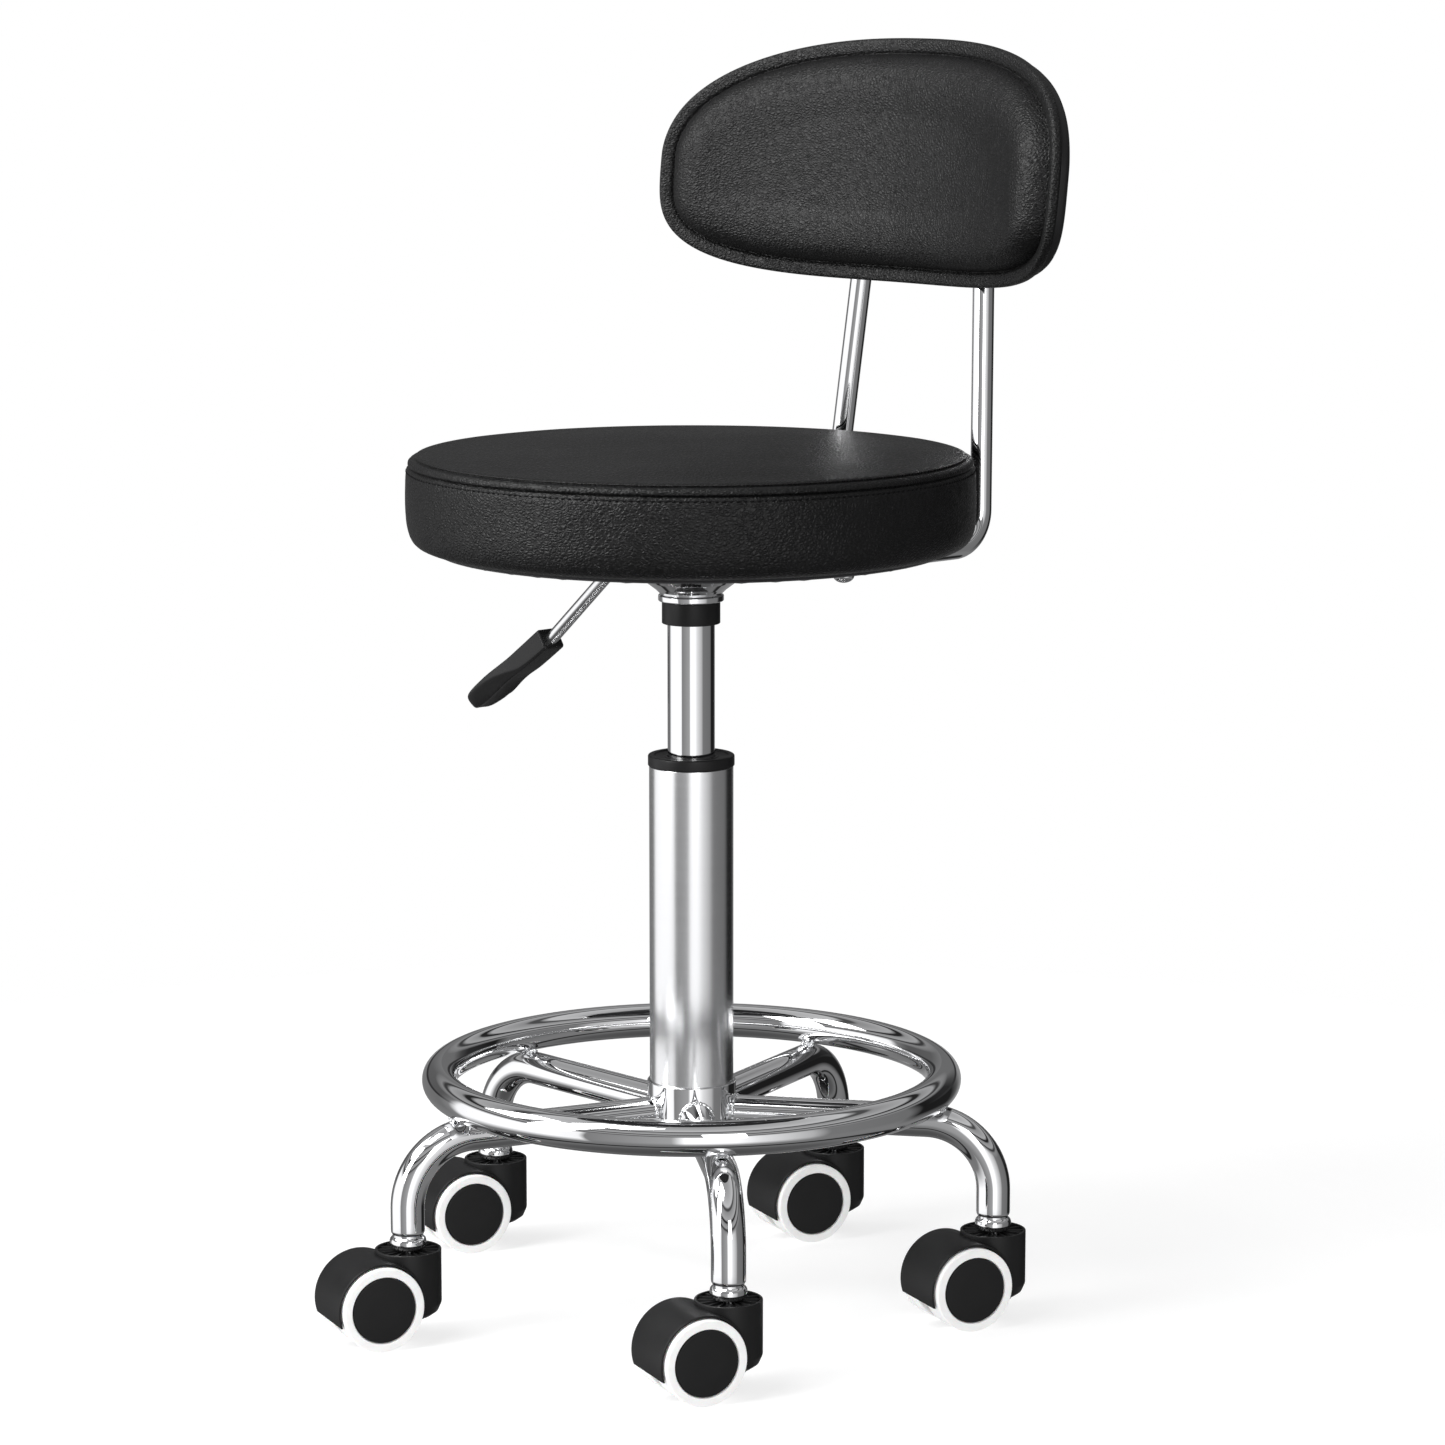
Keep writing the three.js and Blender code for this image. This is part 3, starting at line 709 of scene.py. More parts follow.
def round_head(at, axis, radius, height, drive=True):
    """Points and faces of a domed screw head whose flat back sits at `at`; axis points out."""
    profile = [(0.0, 0.0), (radius, 0.0), (radius, height * 0.25)]
    for k in range(1, 9):
        turn = math.pi / 2 * k / 8
        profile.append((radius * math.cos(turn), height * 0.25 + height * 0.75 * math.sin(turn)))
    profile[-1] = (radius * 0.34, profile[-1][1] * 0.985)
    if drive:
        profile += [(radius * 0.3, height * 0.62), (0.0, height * 0.58)]
    else:
        profile[-1] = (0.0, height)
    vertices, rows = turned_data(profile, 32)
    facing = UP.rotation_difference(Vector(axis)).to_matrix()
    points = [facing @ Vector(v) + Vector(at) for v in vertices]
    return points, row_faces(rows)


def heads(name, places, axis, radius, height, material, drive=True):
    parts = [round_head(at, axis, radius, height, drive) for at in places]
    return new_object(name, *joined(parts), material)


SCREW_OFFSET = 46.0
SCREW_ROWS = (-SCREW_OFFSET, SCREW_OFFSET)
corners = [(x, y, PLATE_TOP - PLATE_THICK) for x in SCREW_ROWS for y in SCREW_ROWS]
screws = heads("mount_screws", corners, -UP, 5.2, 2.8, STEEL)
put(plate, "seat", "mount_plate", slot="chrome")
put(cup, "seat", slot="chrome")
put(screws, "seat", slot="steel")


# ----------------------------------------------------------------------------- the back frame

BOLT_X = centre_of("back_bolt_left").x
BOLT_Y = centre_of("back_bolt_left").y
BACK_TUBE_R = 6.5
BACK_TUBE_BEND_R = 24.0
TUBE_CORNER_Y = 176.0
TUBE_Z = bottom_of("back_tube_left") + BACK_TUBE_R
TUBE_TOP = Vector((45.6, 197.1, 698.0))


def make_back_tube(side, hand):
    """A bent tube with its bolt and end plug; side is 1 for the left one and -1 for the right."""
    start = (side * BOLT_X, BOLT_Y - 13.0, TUBE_Z)
    corner = (side * BOLT_X, TUBE_CORNER_Y, TUBE_Z)
    end = (side * TUBE_TOP.x, TUBE_TOP.y, TUBE_TOP.z - 1.0)
    stations, across = bent_path(start, corner, end, BACK_TUBE_BEND_R, 26)
    crown = [(0.5, 6.2), (1.0, 5.2), (1.2, 3.0)]
    name = f"back_frame_{hand}"
    tube = bar(name, stations, across, BACK_TUBE_R, CHROME, 40, crown)
    put(tube, "seat", f"back_tube_{hand}", slot="chrome")
    under = (side * BOLT_X, BOLT_Y, TUBE_Z - BACK_TUBE_R - 0.1)
    head = heads(name + "_bolt", [under], (0, 0, -1), 6.3, 5.6, CHROME, False)
    put(head, "seat", f"back_bolt_{hand}", slot="chrome")
    tip = (side * BOLT_X, BOLT_Y - 12.6, TUBE_Z)
    foot = heads(name + "_plug", [tip], (0, -1, 0), 6.3, 1.6, PLASTIC, False)
    put(foot, "seat", slot="plastic")


make_back_tube(1, "left")
make_back_tube(-1, "right")


# ----------------------------------------------------------------------------------- the lever

DROP = math.radians(40.4)
GRIP_DROP = math.radians(33.6)
LEVER_R = 4.0
LEVER_BEND_R = 14.0
LEVER_CORNER_X = -63.8
GRIP_X = -127.0
IN_GRIP = 8.0
lever_axis = joint_place("lever_lift")
rod_dir = Vector((-math.cos(DROP), 0, -math.sin(DROP)))
corner = Vector((LEVER_CORNER_X, 0, lever_axis.z))
grip_start = corner + rod_dir * ((LEVER_CORNER_X - GRIP_X) / math.cos(DROP))
rod_end = grip_start + rod_dir * IN_GRIP
stations, across = bent_path((5.0, 0, lever_axis.z), corner, rod_end, LEVER_BEND_R, 16)
rod = bar("lever_bar", stations, across, LEVER_R, CHROME_BAR, 96)
put(rod, "lever", "lever_rod", slot="chrome")

grip_dir = Vector((-math.cos(GRIP_DROP), 0, -math.sin(GRIP_DROP)))
grip_up = Vector((-math.sin(GRIP_DROP), 0, math.cos(GRIP_DROP)))
# Each section: distance along, half width, height above and below the rod's line, height of the
# side facet, and how wide the underside is.
GRIP = [
    (0.0, 7.2, 6.6, 5.4, 10.6, 0.86), (0.9, 8.0, 7.3, 6.0, 12.0, 0.86), (14.0, 8.0, 6.9, 6.2, 11.8, 0.88),
    (29.0, 8.2, 6.4, 6.3, 10.8, 0.88), (36.0, 8.6, 6.0, 5.6, 8.6, 0.78), (46.0, 10.4, 5.7, 5.4, 5.4, 0.68),
    (55.0, 12.2, 5.4, 6.4, 3.8, 0.62), (64.0, 12.8, 5.0, 7.2, 3.2, 0.6), (72.0, 12.4, 4.7, 7.3, 2.9, 0.6),
    (78.0, 11.3, 4.6, 6.9, 2.8, 0.64), (82.5, 9.4, 4.2, 5.8, 2.8, 0.68), (86.0, 6.2, 3.1, 3.9, 2.4, 0.7),
    (87.4, 2.8, 1.6, 1.9, 1.3, 0.7),
]
CREASED_TO = 76.0
CREASE_FADE = 24.0


def make_grip():
    """Wedge-sided handle that runs out into a broad paddle with a dished underside."""
    rings = []
    for distance, half, above, below, side, low in GRIP:
        dish = 1.6 * min(1.0, max(0.0, (distance - 40) / 20)) * min(1.0, max(0.0, (86 - distance) / 8))
        right = [
            (0.0, above), (half * 0.86, above), (half, above - 1.1), (half, above - side),
            (half * low, -below), (half * low * 0.5, dish - below), (0.0, dish - below),
        ]
        outline = right + [(-x, z) for x, z in reversed(right[1:-1])]
        at = grip_start + grip_dir * distance
        rings.append([at + Vector((0, x, 0)) + grip_up * z for x, z in outline])
    made = new_object("lever_handle", *skinned(rings), GRIP_PLASTIC, 180.0)
    work = bmesh.new()
    work.from_mesh(made.data)
    crease = work.edges.layers.float.new("crease_edge")
    for edge in work.edges:
        middle = (edge.verts[0].co + edge.verts[1].co) / 2
        along = (middle / MM - grip_start).dot(grip_dir)
        if along < CREASED_TO and edge.calc_face_angle(0) > math.radians(24):
            edge[crease] = 0.78 * min(1.0, (CREASED_TO - along) / CREASE_FADE)
    work.to_mesh(made.data)
    work.free()
    smooth = made.modifiers.new("round", "SUBSURF")
    smooth.levels = 3
    smooth.render_levels = 3
    put(made, "lever", "lever_grip", slot="plastic")


make_grip()


# --------------------------------------------------------------------------------- soft pieces

def spline(points, per):
    """Catmull-Rom curve through 2-D points, per steps to a span."""
    made = []
    ends = [points[0]] + list(points) + [points[-1]]
    for k in range(1, len(ends) - 2):
        a, b, c, d = (Vector(ends[k + j]) for j in (-1, 0, 1, 2))
        for i in range(per):
            t = i / per
            made.append(0.5 * (2 * b + (c - a) * t + (2 * a - 5 * b + 4 * c - d) * t ** 2
                               + (3 * b - a - 3 * c + d) * t ** 3))
    made.append(Vector(points[-1]))
    return made


SHRINK = 0.99
FRAMES = 20
SMOOTHINGS = 8


def puffed(node, pinned, voxel, cap):
    """Inflates a copy of a CAD cushion as pinned cloth. Returns a lookup of how far the skin moved."""
    scene = bpy.context.scene
    mesh = NODES[node].data.copy()
    soft = bpy.data.objects.new("soft_copy", mesh)
    scene.collection.objects.link(soft)
    remesh = soft.modifiers.new("remesh", "REMESH")
    remesh.mode = "VOXEL"
    remesh.voxel_size = voxel
    depsgraph = bpy.context.evaluated_depsgraph_get()
    fine = bpy.data.meshes.new_from_object(soft.evaluated_get(depsgraph))
    soft.modifiers.clear()
    soft.data = fine
    rest = [v.co.copy() for v in fine.vertices]
    middle = sum(rest, Vector()) / len(rest)
    group = soft.vertex_groups.new(name="pin")
    for index, point in enumerate(rest):
        hold = pinned(point / MM)
        if hold > 0:
            group.add([index], hold, "REPLACE")
        fine.vertices[index].co = middle + (point - middle) * (1 - (1 - SHRINK) * (1 - hold))
    cloth = soft.modifiers.new("cloth", "CLOTH")
    cloth.settings.quality = 6
    cloth.settings.mass = 0.25
    cloth.settings.tension_stiffness = 30
    cloth.settings.compression_stiffness = 12
    cloth.settings.shear_stiffness = 10
    cloth.settings.bending_stiffness = 1.5
    cloth.settings.use_pressure = True
    cloth.settings.uniform_pressure_force = 3.0
    cloth.settings.vertex_group_mass = "pin"
    cloth.settings.pin_stiffness = 2.0
    cloth.settings.effector_weights.gravity = 0
    cloth.point_cache.frame_start = 1
    cloth.point_cache.frame_end = FRAMES
    for step in range(1, FRAMES + 1):
        scene.frame_set(step)
    depsgraph = bpy.context.evaluated_depsgraph_get()
    settled = soft.evaluated_get(depsgraph).to_mesh()
    moved = []
    for before, vertex in zip(rest, settled.vertices):
        shift = (vertex.co - before) / MM
        if shift.length > cap:
            shift = shift.normalized() * cap
        moved.append(shift)
    soft.evaluated_get(depsgraph).to_mesh_clear()
    scene.frame_set(1)
    bpy.data.objects.remove(soft)
    beside = [[] for _ in rest]
    for edge in fine.edges:
        first, second = edge.vertices
        beside[first].append(second)
        beside[second].append(first)
    for _ in range(SMOOTHINGS):
        moved = [
            sum((moved[other] for other in others), shift.copy()) / (len(others) + 1)
            for shift, others in zip(moved, beside)
        ]
    tree = KDTree(len(rest))
    for index, point in enumerate(rest):
        tree.insert(point / MM, index)
    tree.balance()

    def lookup(point):
        total = Vector()
        weight = 0.0
        for _, index, distance in tree.find_n(point, 10):
            share = math.exp(-(distance / (voxel / MM * 1.1)) ** 2) + 1e-6
            total += moved[index] * share
            weight += share
        return total / weight

    return lookup


def lumps(x, y, z, size):
    return noise.noise(Vector((x / size, y / size, z / size)))


# The seat: a boxed round cushion with a rolled top edge, a seam under it and one row of stitches.
SEAT_BOTTOM = bottom_of("seat_cushion")
SEAT_TOP = top_of("seat_cushion")
SEAM_Z = SEAT_TOP - 6.9
STITCH_Z = SEAT_TOP - 9.6
STITCH_LENGTH = 2.7
STITCH_R = 0.55
SEAT_FLAT_R = 145.0
SEAT_SIDE = [
    (150.4, SEAT_BOTTOM + 0.4), (156.8, SEAT_BOTTOM + 0.9), (162.4, SEAT_BOTTOM + 3.0),
    (166.0, SEAT_BOTTOM + 7.0), (168.1, SEAT_BOTTOM + 13.2), (168.8, SEAT_BOTTOM + 21),
    (168.8, SEAT_BOTTOM + 30), (168.3, SEAT_BOTTOM + 38), (167.5, STITCH_Z - 1.6),
    (166.9, STITCH_Z - 0.3), (167.0, STITCH_Z + 0.5), (166.5, SEAM_Z - 1.0), (165.0, SEAM_Z),
]
SEAT_ROLL = [
    (165.0, SEAM_Z), (166.1, SEAM_Z + 1.0), (166.1, SEAM_Z + 2.3), (165.3, SEAM_Z + 3.6),
    (163.7, SEAM_Z + 4.5), (162.0, SEAM_Z + 4.7), (161.4, SEAM_Z + 5.1), (161.9, SEAM_Z + 5.7),
    (161.4, SEAM_Z + 6.2), (159.6, SEAM_Z + 6.7), (156.0, SEAT_TOP), (150.0, SEAT_TOP),
    (SEAT_FLAT_R, SEAT_TOP),
]


def seat_pin(point):
    radius = math.hypot(point.x, point.y)
    if point.z < SEAT_BOTTOM + 3.5 and radius < 163:
        return 1.0
    if radius > 158 and point.z > STITCH_Z - 2.0:
        return 1.0
    return 0.0


def make_seat():
    moved = puffed("seat_cushion", seat_pin, 0.0055, 2.2)
    outline = spline(SEAT_SIDE, 6) + spline(SEAT_ROLL, 6)[1:]
    shares = (0.96, 0.9, 0.82, 0.72, 0.6, 0.47, 0.33, 0.2, 0.08)
    outline += [Vector((SEAT_FLAT_R * share, SEAT_TOP)) for share in shares]
    segments = 420
    rings = []
    for radius, height in outline:
        ring = []
        for i in range(segments):
            turn = 2 * math.pi * i / segments
            x, y = radius * math.cos(turn), radius * math.sin(turn)
            point = Vector((x, y, height))
            near = max(0.0, 1 - abs(height - SEAM_Z) / 16) if height < SEAM_Z + 4 else 0.0
            pucker = 0.4 * near * lumps(x, y, height * 0.22, 6.0)
            slack = 0.55 * lumps(x, y, height * 0.8, 42.0) + 0.2 * lumps(x + 300, y, height, 17.0)
            side = min(1.0, max(0.0, (radius - 150) / 12)) * (1.0 if height < SEAM_Z - 1 else 0.35)
            loose = min(1.0, max(0.0, (height - SEAT_BOTTOM - 3) / 8))
            point += spoke_at(turn) * side * (pucker + slack * loose)
            if height > SEAM_Z:
                point.z += 0.5 * lumps(x, y, 7.0, 60.0) * min(1.0, max(0.0, 156 - radius) / 20)
                point.z += 0.35 * lumps(x, y, 11.0, 5.0) * max(0.0, 1 - abs(radius - 164.5) / 3)
            point += moved(Vector((x, y, height)))
            ring.append(point)
        rings.append(ring)
    seat = new_object("seat_pad", *skinned(rings), LEATHER, 60.0)
    put(seat, "seat", "seat_cushion", slot="leather")
    return seat


def capsule(at, along, up, length, radius, sides=7):
    """Points and faces of one stitch or staple."""
    rings = []
    for share, size in ((-0.5, 0.35), (-0.4, 0.85), (0.0, 1.0), (0.4, 0.85), (0.5, 0.35)):
        sink = -abs(share) * 2 * radius * 0.9
        rings.append(ring_points(at + along * (share * length) + up * sink, along, up, radius * size, sides))
    return skinned(rings)


def surface_tree(made):
    work = bmesh.new()
    work.from_mesh(made.data)
    tree = BVHTree.FromBMesh(work)
    work.free()
    return tree


def make_seat_stitches(seat):
    tree = surface_tree(seat)
    count = 262
    parts = []
    for i in range(count):
        turn = 2 * math.pi * i / count
        outward = spoke_at(turn)
        hit, normal, _, _ = tree.ray_cast(outward * 0.2 + UP * (STITCH_Z * MM), -outward)
        if hit is None:
            continue
        along = UP.cross(outward)
        up = normal - along * normal.dot(along)
        up.normalize()
        parts.append(capsule(hit / MM + up * 0.05, along, up, STITCH_LENGTH, STITCH_R))
    thread = new_object("seat_stitches", *joined(parts), THREAD, 80.0)
    put(thread, "seat", slot="leather")


# The backrest: a curved board with a leather pad whose edge is rolled inside a flat flange.
BACK_R = 311.0
BACK_Y = 175.4
BACK_Z = 672.2
LEAN = math.radians(6.4)
BACK_HALF = 177.9
BACK_UP = 79.2
BACK_DOWN = 68.0
UPPER_POWER = 2.36
LOWER_POWER = 3.42


def back_point(s, t, w):
    turn = s / BACK_R
    radius = BACK_R - w
    forward = BACK_R - radius * math.cos(turn)
    y = BACK_Y - forward + t * math.sin(LEAN)
    return Vector((radius * math.sin(turn), y, BACK_Z + t * math.cos(LEAN)))


def back_edge(turn):
    """Outline of the backrest, unrolled: across and up."""
    c, s = math.cos(turn), math.sin(turn)
    blend = 0.5 + 0.5 * math.tanh(s * 12)
    power = LOWER_POWER + (UPPER_POWER - LOWER_POWER) * blend
    reach = BACK_UP if s >= 0 else BACK_DOWN
    across = BACK_HALF * math.copysign(abs(c) ** (2 / power), c)
    up = reach * math.copysign(abs(s) ** (2 / power), s)
    return Vector((across, up))


def back_outline(count=264):
    """Evenly spaced outline points."""
    dense = [back_edge(2 * math.pi * i / 4000) for i in range(4000)]
    lengths = [0.0]
    for i in range(4000):
        lengths.append(lengths[-1] + (dense[(i + 1) % 4000] - dense[i]).length)
    points = []
    k = 0
    for i in range(count):
        wanted = lengths[-1] * i / count
        while lengths[k + 1] < wanted:
            k += 1
        share = (wanted - lengths[k]) / max(lengths[k + 1] - lengths[k], 1e-9)
        points.append(dense[k].lerp(dense[(k + 1) % 4000], share))
    return points


BACK_EDGE = back_outline()
BACK_INWARD = [
    Vector((BACK_EDGE[i - 1].y - BACK_EDGE[(i + 1) % len(BACK_EDGE)].y,
            BACK_EDGE[(i + 1) % len(BACK_EDGE)].x - BACK_EDGE[i - 1].x)).normalized()
    for i in range(len(BACK_EDGE))
]


def back_scaled(share, inset, w, wave=None):
    """A ring that lies inset inside the outline, drawn towards the middle by share."""
    ring = []
    for edge, inward in zip(BACK_EDGE, BACK_INWARD):
        flat = (edge + inward * inset) * share
        lift = wave(flat, edge, inset + (1 - share) * 60) if wave else 0.0
        ring.append(back_point(flat.x, flat.y, w + lift))
    return ring


def back_ring(inset, w, wave=None):
    return back_scaled(1.0, inset, w, wave)


def back_pin(point):
    turn = math.atan2(point.x, BACK_R - (BACK_Y - point.y))
    s = BACK_R * turn
    t = (point.z - BACK_Z) / math.cos(LEAN)
    surface = back_point(s, t, 0.0)
    outside = 1.0
    for edge in BACK_EDGE[::6]:
        cosine = (s * edge.x + t * edge.y) / (edge.length * max(math.hypot(s, t), 1e-6))
        if cosine > 0.998:
            outside = min(outside, (edge.length - math.hypot(s, t)) / 12.0)
    if outside < 1.0 or point.y > surface.y - 2.0:
        return 1.0
    return 0.0


def make_back_pad():
    moved = puffed("back_cushion", back_pin, 0.0045, 1.8)

    def grain(flat, edge, depth):
        roll = max(0.0, 1 - abs(depth - 15) / 9)
        crease = 0.3 * roll * lumps(edge.x, edge.y, depth * 0.2, 6.5)
        return crease + 0.35 * lumps(flat.x, flat.y, 3.0, 46.0) * min(1.0, max(0.0, (depth - 12) / 14))

    rear = [back_scaled(share, 6.0, -5.7) for share in (0.02, 0.2, 0.45, 0.7, 0.9)]
    rim = [back_ring(i, w) for i, w in (
        (3.0, -5.7), (1.2, -5.5), (0.3, -4.8), (0.0, -3.8), (0.0, -2.2), (0.3, -1.0), (1.0, -0.3), (2.0, 0.0),
        (3.6, 0.05), (5.4, 0.0), (7.0, -0.15), (8.0, -0.5), (8.7, -1.2), (9.2, -1.5),
    )]
    roll = spline([
        (9.4, -1.5), (9.8, 0.2), (10.2, 2.4), (11.2, 5.8), (13.0, 9.0), (15.8, 11.9),
        (19.5, 13.9), (24.0, 14.8), (28.0, 15.1), (32.0, 14.95), (36.0, 14.6),
    ], 4)
    pad = [back_ring(inset, w, grain) for inset, w in roll]
    field = [back_scaled(1 - 0.042 * k, 36.0, 14.6 - 1.3 * min(1.0, k / 5), grain) for k in range(1, 24)]
    lifted = [[point + moved(point) for point in ring] for ring in pad + field]
    made = new_object("back_pad", *skinned(rear + rim + lifted), LEATHER_BACK, 60.0)
    put(made, "seat", "back_cushion", slot="leather")


def make_back_shell():
    front = [back_scaled(share, 3.0, -6.0) for share in (0.02, 0.4, 0.8)]
    rim = [back_ring(i, w) for i, w in (
        (3.0, -6.0), (3.0, -8.6), (3.3, -9.7), (4.2, -10.8), (5.6, -11.6), (7.4, -12.0), (11.0, -12.1),
        (14.0, -12.1), (14.5, -11.7), (15.0, -11.7), (15.5, -12.1), (19.0, -12.1),
    )]
    rear = [back_scaled(share, 19.0, -12.1) for share in (0.92, 0.8, 0.65, 0.5, 0.35, 0.2, 0.08, 0.01)]
    made = new_object("back_shell_panel", *skinned(front + rim + rear), SHELL, 30.0)
    put(made, "seat", "back_board", slot="back_shell")


seat_pad = make_seat()
make_seat_stitches(seat_pad)
make_back_pad()
make_back_shell()


# Each tube is bolted to the board twice, over a spacer.
def tube_line(side, z):
    share = (z - TUBE_Z) / (TUBE_TOP.z - TUBE_Z)
    x = BOLT_X + (TUBE_TOP.x - BOLT_X) * share
    return Vector((side * x, TUBE_CORNER_Y + (TUBE_TOP.y - TUBE_CORNER_Y) * share, z))


def make_back_bolts():
    places = [tube_line(side, z) for side in (-1, 1) for z in (634.0, 684.0)]
    parts = []
    for at in places:
        turn = math.asin(at.x / (BACK_R + 12.0))
        t = (at.z - BACK_Z) / math.cos(LEAN)
        board = back_point(BACK_R * turn, t, -12.0)
        front = board.y - 0.5
        rings = [
            ring_points(Vector((at.x, y, at.z)), Vector((0, -1, 0)), UP, radius, 24)
            for y, radius in ((at.y, 4.6), (front + 1.2, 4.6), (front + 1.2, 6.6), (front, 6.6))
        ]
        parts.append(skinned(rings))
    put(new_object("back_spacers", *joined(parts), PLASTIC), "seat", slot="plastic")
    rear = [at + Vector((0, 6.0, 0)) for at in places]
    put(heads("back_screws", rear, (0, 1, 0), 5.0, 3.4, STEEL), "seat", slot="steel")


make_back_bolts()


def make_underside():
    """Stapled dust cover under the seat board."""
    low = bottom_of("seat_board")
    cover = turned("seat_dust_cover", [
        (0.0, low + 0.3), (60.0, low + 0.3), (120.0, low + 0.25), (143.0, low + 0.1),
        (146.0, low - 0.25, 0.5), (149.4, low - 0.25, 0.4), (150.0, low + 0.5), (150.0, low + 4.0),
        (0.0, low + 4.0),
    ], COVER, 160)
    put(cover, "seat", "seat_board", slot="plywood")
    parts = []
    count = 46
    for i in range(count):
        turn = 2 * math.pi * (i + 0.2 * math.sin(i * 2.7)) / count
        tilt = 0.12 * math.sin(i * 5.1)
        at = Vector((147.2 * math.cos(turn), 147.2 * math.sin(turn), low - 0.45))
        along = Vector((-math.sin(turn + tilt), math.cos(turn + tilt), 0.0))
        parts.append(capsule(at, along, -UP, 10.0, 0.45, 8))
    put(new_object("seat_staples", *joined(parts), STEEL, 60.0), "seat", slot="steel")


make_underside()


# ---------------------------------------------------------------------------------- the casters

def laid_across(made, trail, height):
    """Turns a solid of revolution so that its axis is the axle."""
    shift = Matrix.Translation(Vector((trail, 0, height)) * MM)
    made.data.transform(shift @ Matrix.Rotation(math.pi / 2, 4, "X"))
    return made


pivot_1 = joint_place("caster_1_swivel")
axle_1 = joint_place("wheel_1a_roll")
TRAIL = in_plan(axle_1 - pivot_1).length
AXLE_Z = axle_1.z
HOUSING_TOP = top_of("caster_housing_1")
HOOD_R = 27.0
HOOD_HALF = 20.8
WHEEL_ROOM_R = 25.9
WEB_HALF = 5.5
HOOD_CUT = 8.7
BARREL_R = 19.5
BARREL_WELL_R = 17.9
RIBS = 16


def make_housing_mesh():
    hood = laid_across(turned("hood", [
        (0.0, -HOOD_HALF), (HOOD_R, -HOOD_HALF, 0.7), (HOOD_R, HOOD_HALF, 0.7), (0.0, HOOD_HALF),
    ], CASTER_PLASTIC, 144), TRAIL, AXLE_Z)
    boolean(hood, block("below", (-10, -40, -20), (60, 40, AXLE_Z - HOOD_CUT)), "DIFFERENCE")
    boolean(hood, block("front", (-40, -40, -20), (-3, 40, 80)), "DIFFERENCE")
    barrel = turned("barrel", [
        (0.0, 13.8), (13.0, 13.8, 1.0), (17.3, 16.8, 2.0), (BARREL_R, 21.8, 4.0),
        (BARREL_R, HOUSING_TOP, 0.5), (BARREL_WELL_R, HOUSING_TOP, 0.3),
        (BARREL_WELL_R, HOUSING_TOP - 1.6, 0.3), (0.0, HOUSING_TOP - 1.6),
    ], CASTER_PLASTIC, 96)
    boolean(hood, barrel, "UNION")
    for low, high in ((WEB_HALF, 40.0), (-40.0, -WEB_HALF)):
        space = laid_across(turned("space", [
            (0.0, low), (WHEEL_ROOM_R, low), (WHEEL_ROOM_R, high), (0.0, high),
        ], CASTER_PLASTIC, 144), TRAIL, AXLE_Z)
        boolean(hood, space, "DIFFERENCE")
    parts = []
    floor = HOUSING_TOP - 1.7
    for i in range(RIBS):
        spoke = spoke_at(2 * math.pi * i / RIBS)
        side = UP.cross(spoke)
        box_points = []
        for z, half in ((floor, 0.6), (floor + 1.2, 0.42)):
            for r, s in ((5.0, -1), (BARREL_WELL_R, -1), (BARREL_WELL_R, 1), (5.0, 1)):
                box_points.append(spoke * r + side * (s * half) + UP * z)
        parts.append((box_points, [
            (3, 2, 1, 0), (4, 5, 6, 7), (0, 1, 5, 4), (1, 2, 6, 5), (2, 3, 7, 6), (3, 0, 4, 7),
        ]))
    ribs = new_object("ribs", *joined(parts), CASTER_PLASTIC, 30.0)
    work = bmesh.new()
    work.from_mesh(hood.data)
    work.from_mesh(ribs.data)
    bmesh.ops.remove_doubles(work, verts=work.verts, dist=2e-6)
    mesh = bpy.data.meshes.new("caster_housing_shape")
    work.to_mesh(mesh)
    work.free()
    bpy.data.objects.remove(hood)
    bpy.data.objects.remove(ribs)
    mesh.materials.append(CASTER_PLASTIC)
    tidy(mesh, 28.0)
    return mesh


TYRE_R = 24.99
TYRE_BORE_R = 19.6
CORE_R = 19.4
AXLE_HOLE_R = 3.3
TYRE_FACE = 23.6
INNER_FACE = 6.1


def make_wheel_meshes():
    tyre = turned("tyre", [
        (TYRE_BORE_R, INNER_FACE), (TYRE_R, INNER_FACE, 1.4), (TYRE_R, TYRE_FACE, 1.1),
        (20.1, TYRE_FACE + 0.1, 0.5), (TYRE_BORE_R, TYRE_FACE - 0.8),
    ], TYRE, 128, closed=True)
    core = turned("core", [
        (AXLE_HOLE_R, INNER_FACE), (18.6, INNER_FACE, 0.5), (CORE_R, INNER_FACE + 2.0),
        (CORE_R, TYRE_FACE - 0.5, 0.4), (18.8, TYRE_FACE + 0.1, 0.4), (10.0, TYRE_FACE + 0.45, 6.0),
        (0.0, TYRE_FACE + 0.55), (0.0, TYRE_FACE - 2.2), (AXLE_HOLE_R, TYRE_FACE - 2.2),
    ], CASTER_PLASTIC, 128, closed=True)
    meshes = tyre.data, core.data
    bpy.data.objects.remove(tyre)
    bpy.data.objects.remove(core)
    return meshes


def placed_mesh(name, mesh, matrix):
    made = bpy.data.objects.new(name, mesh)
    bpy.context.collection.objects.link(made)
    made.matrix_world = matrix
    return made


HOUSING_MESH = make_housing_mesh()
TYRE_MESH, CORE_MESH = make_wheel_meshes()

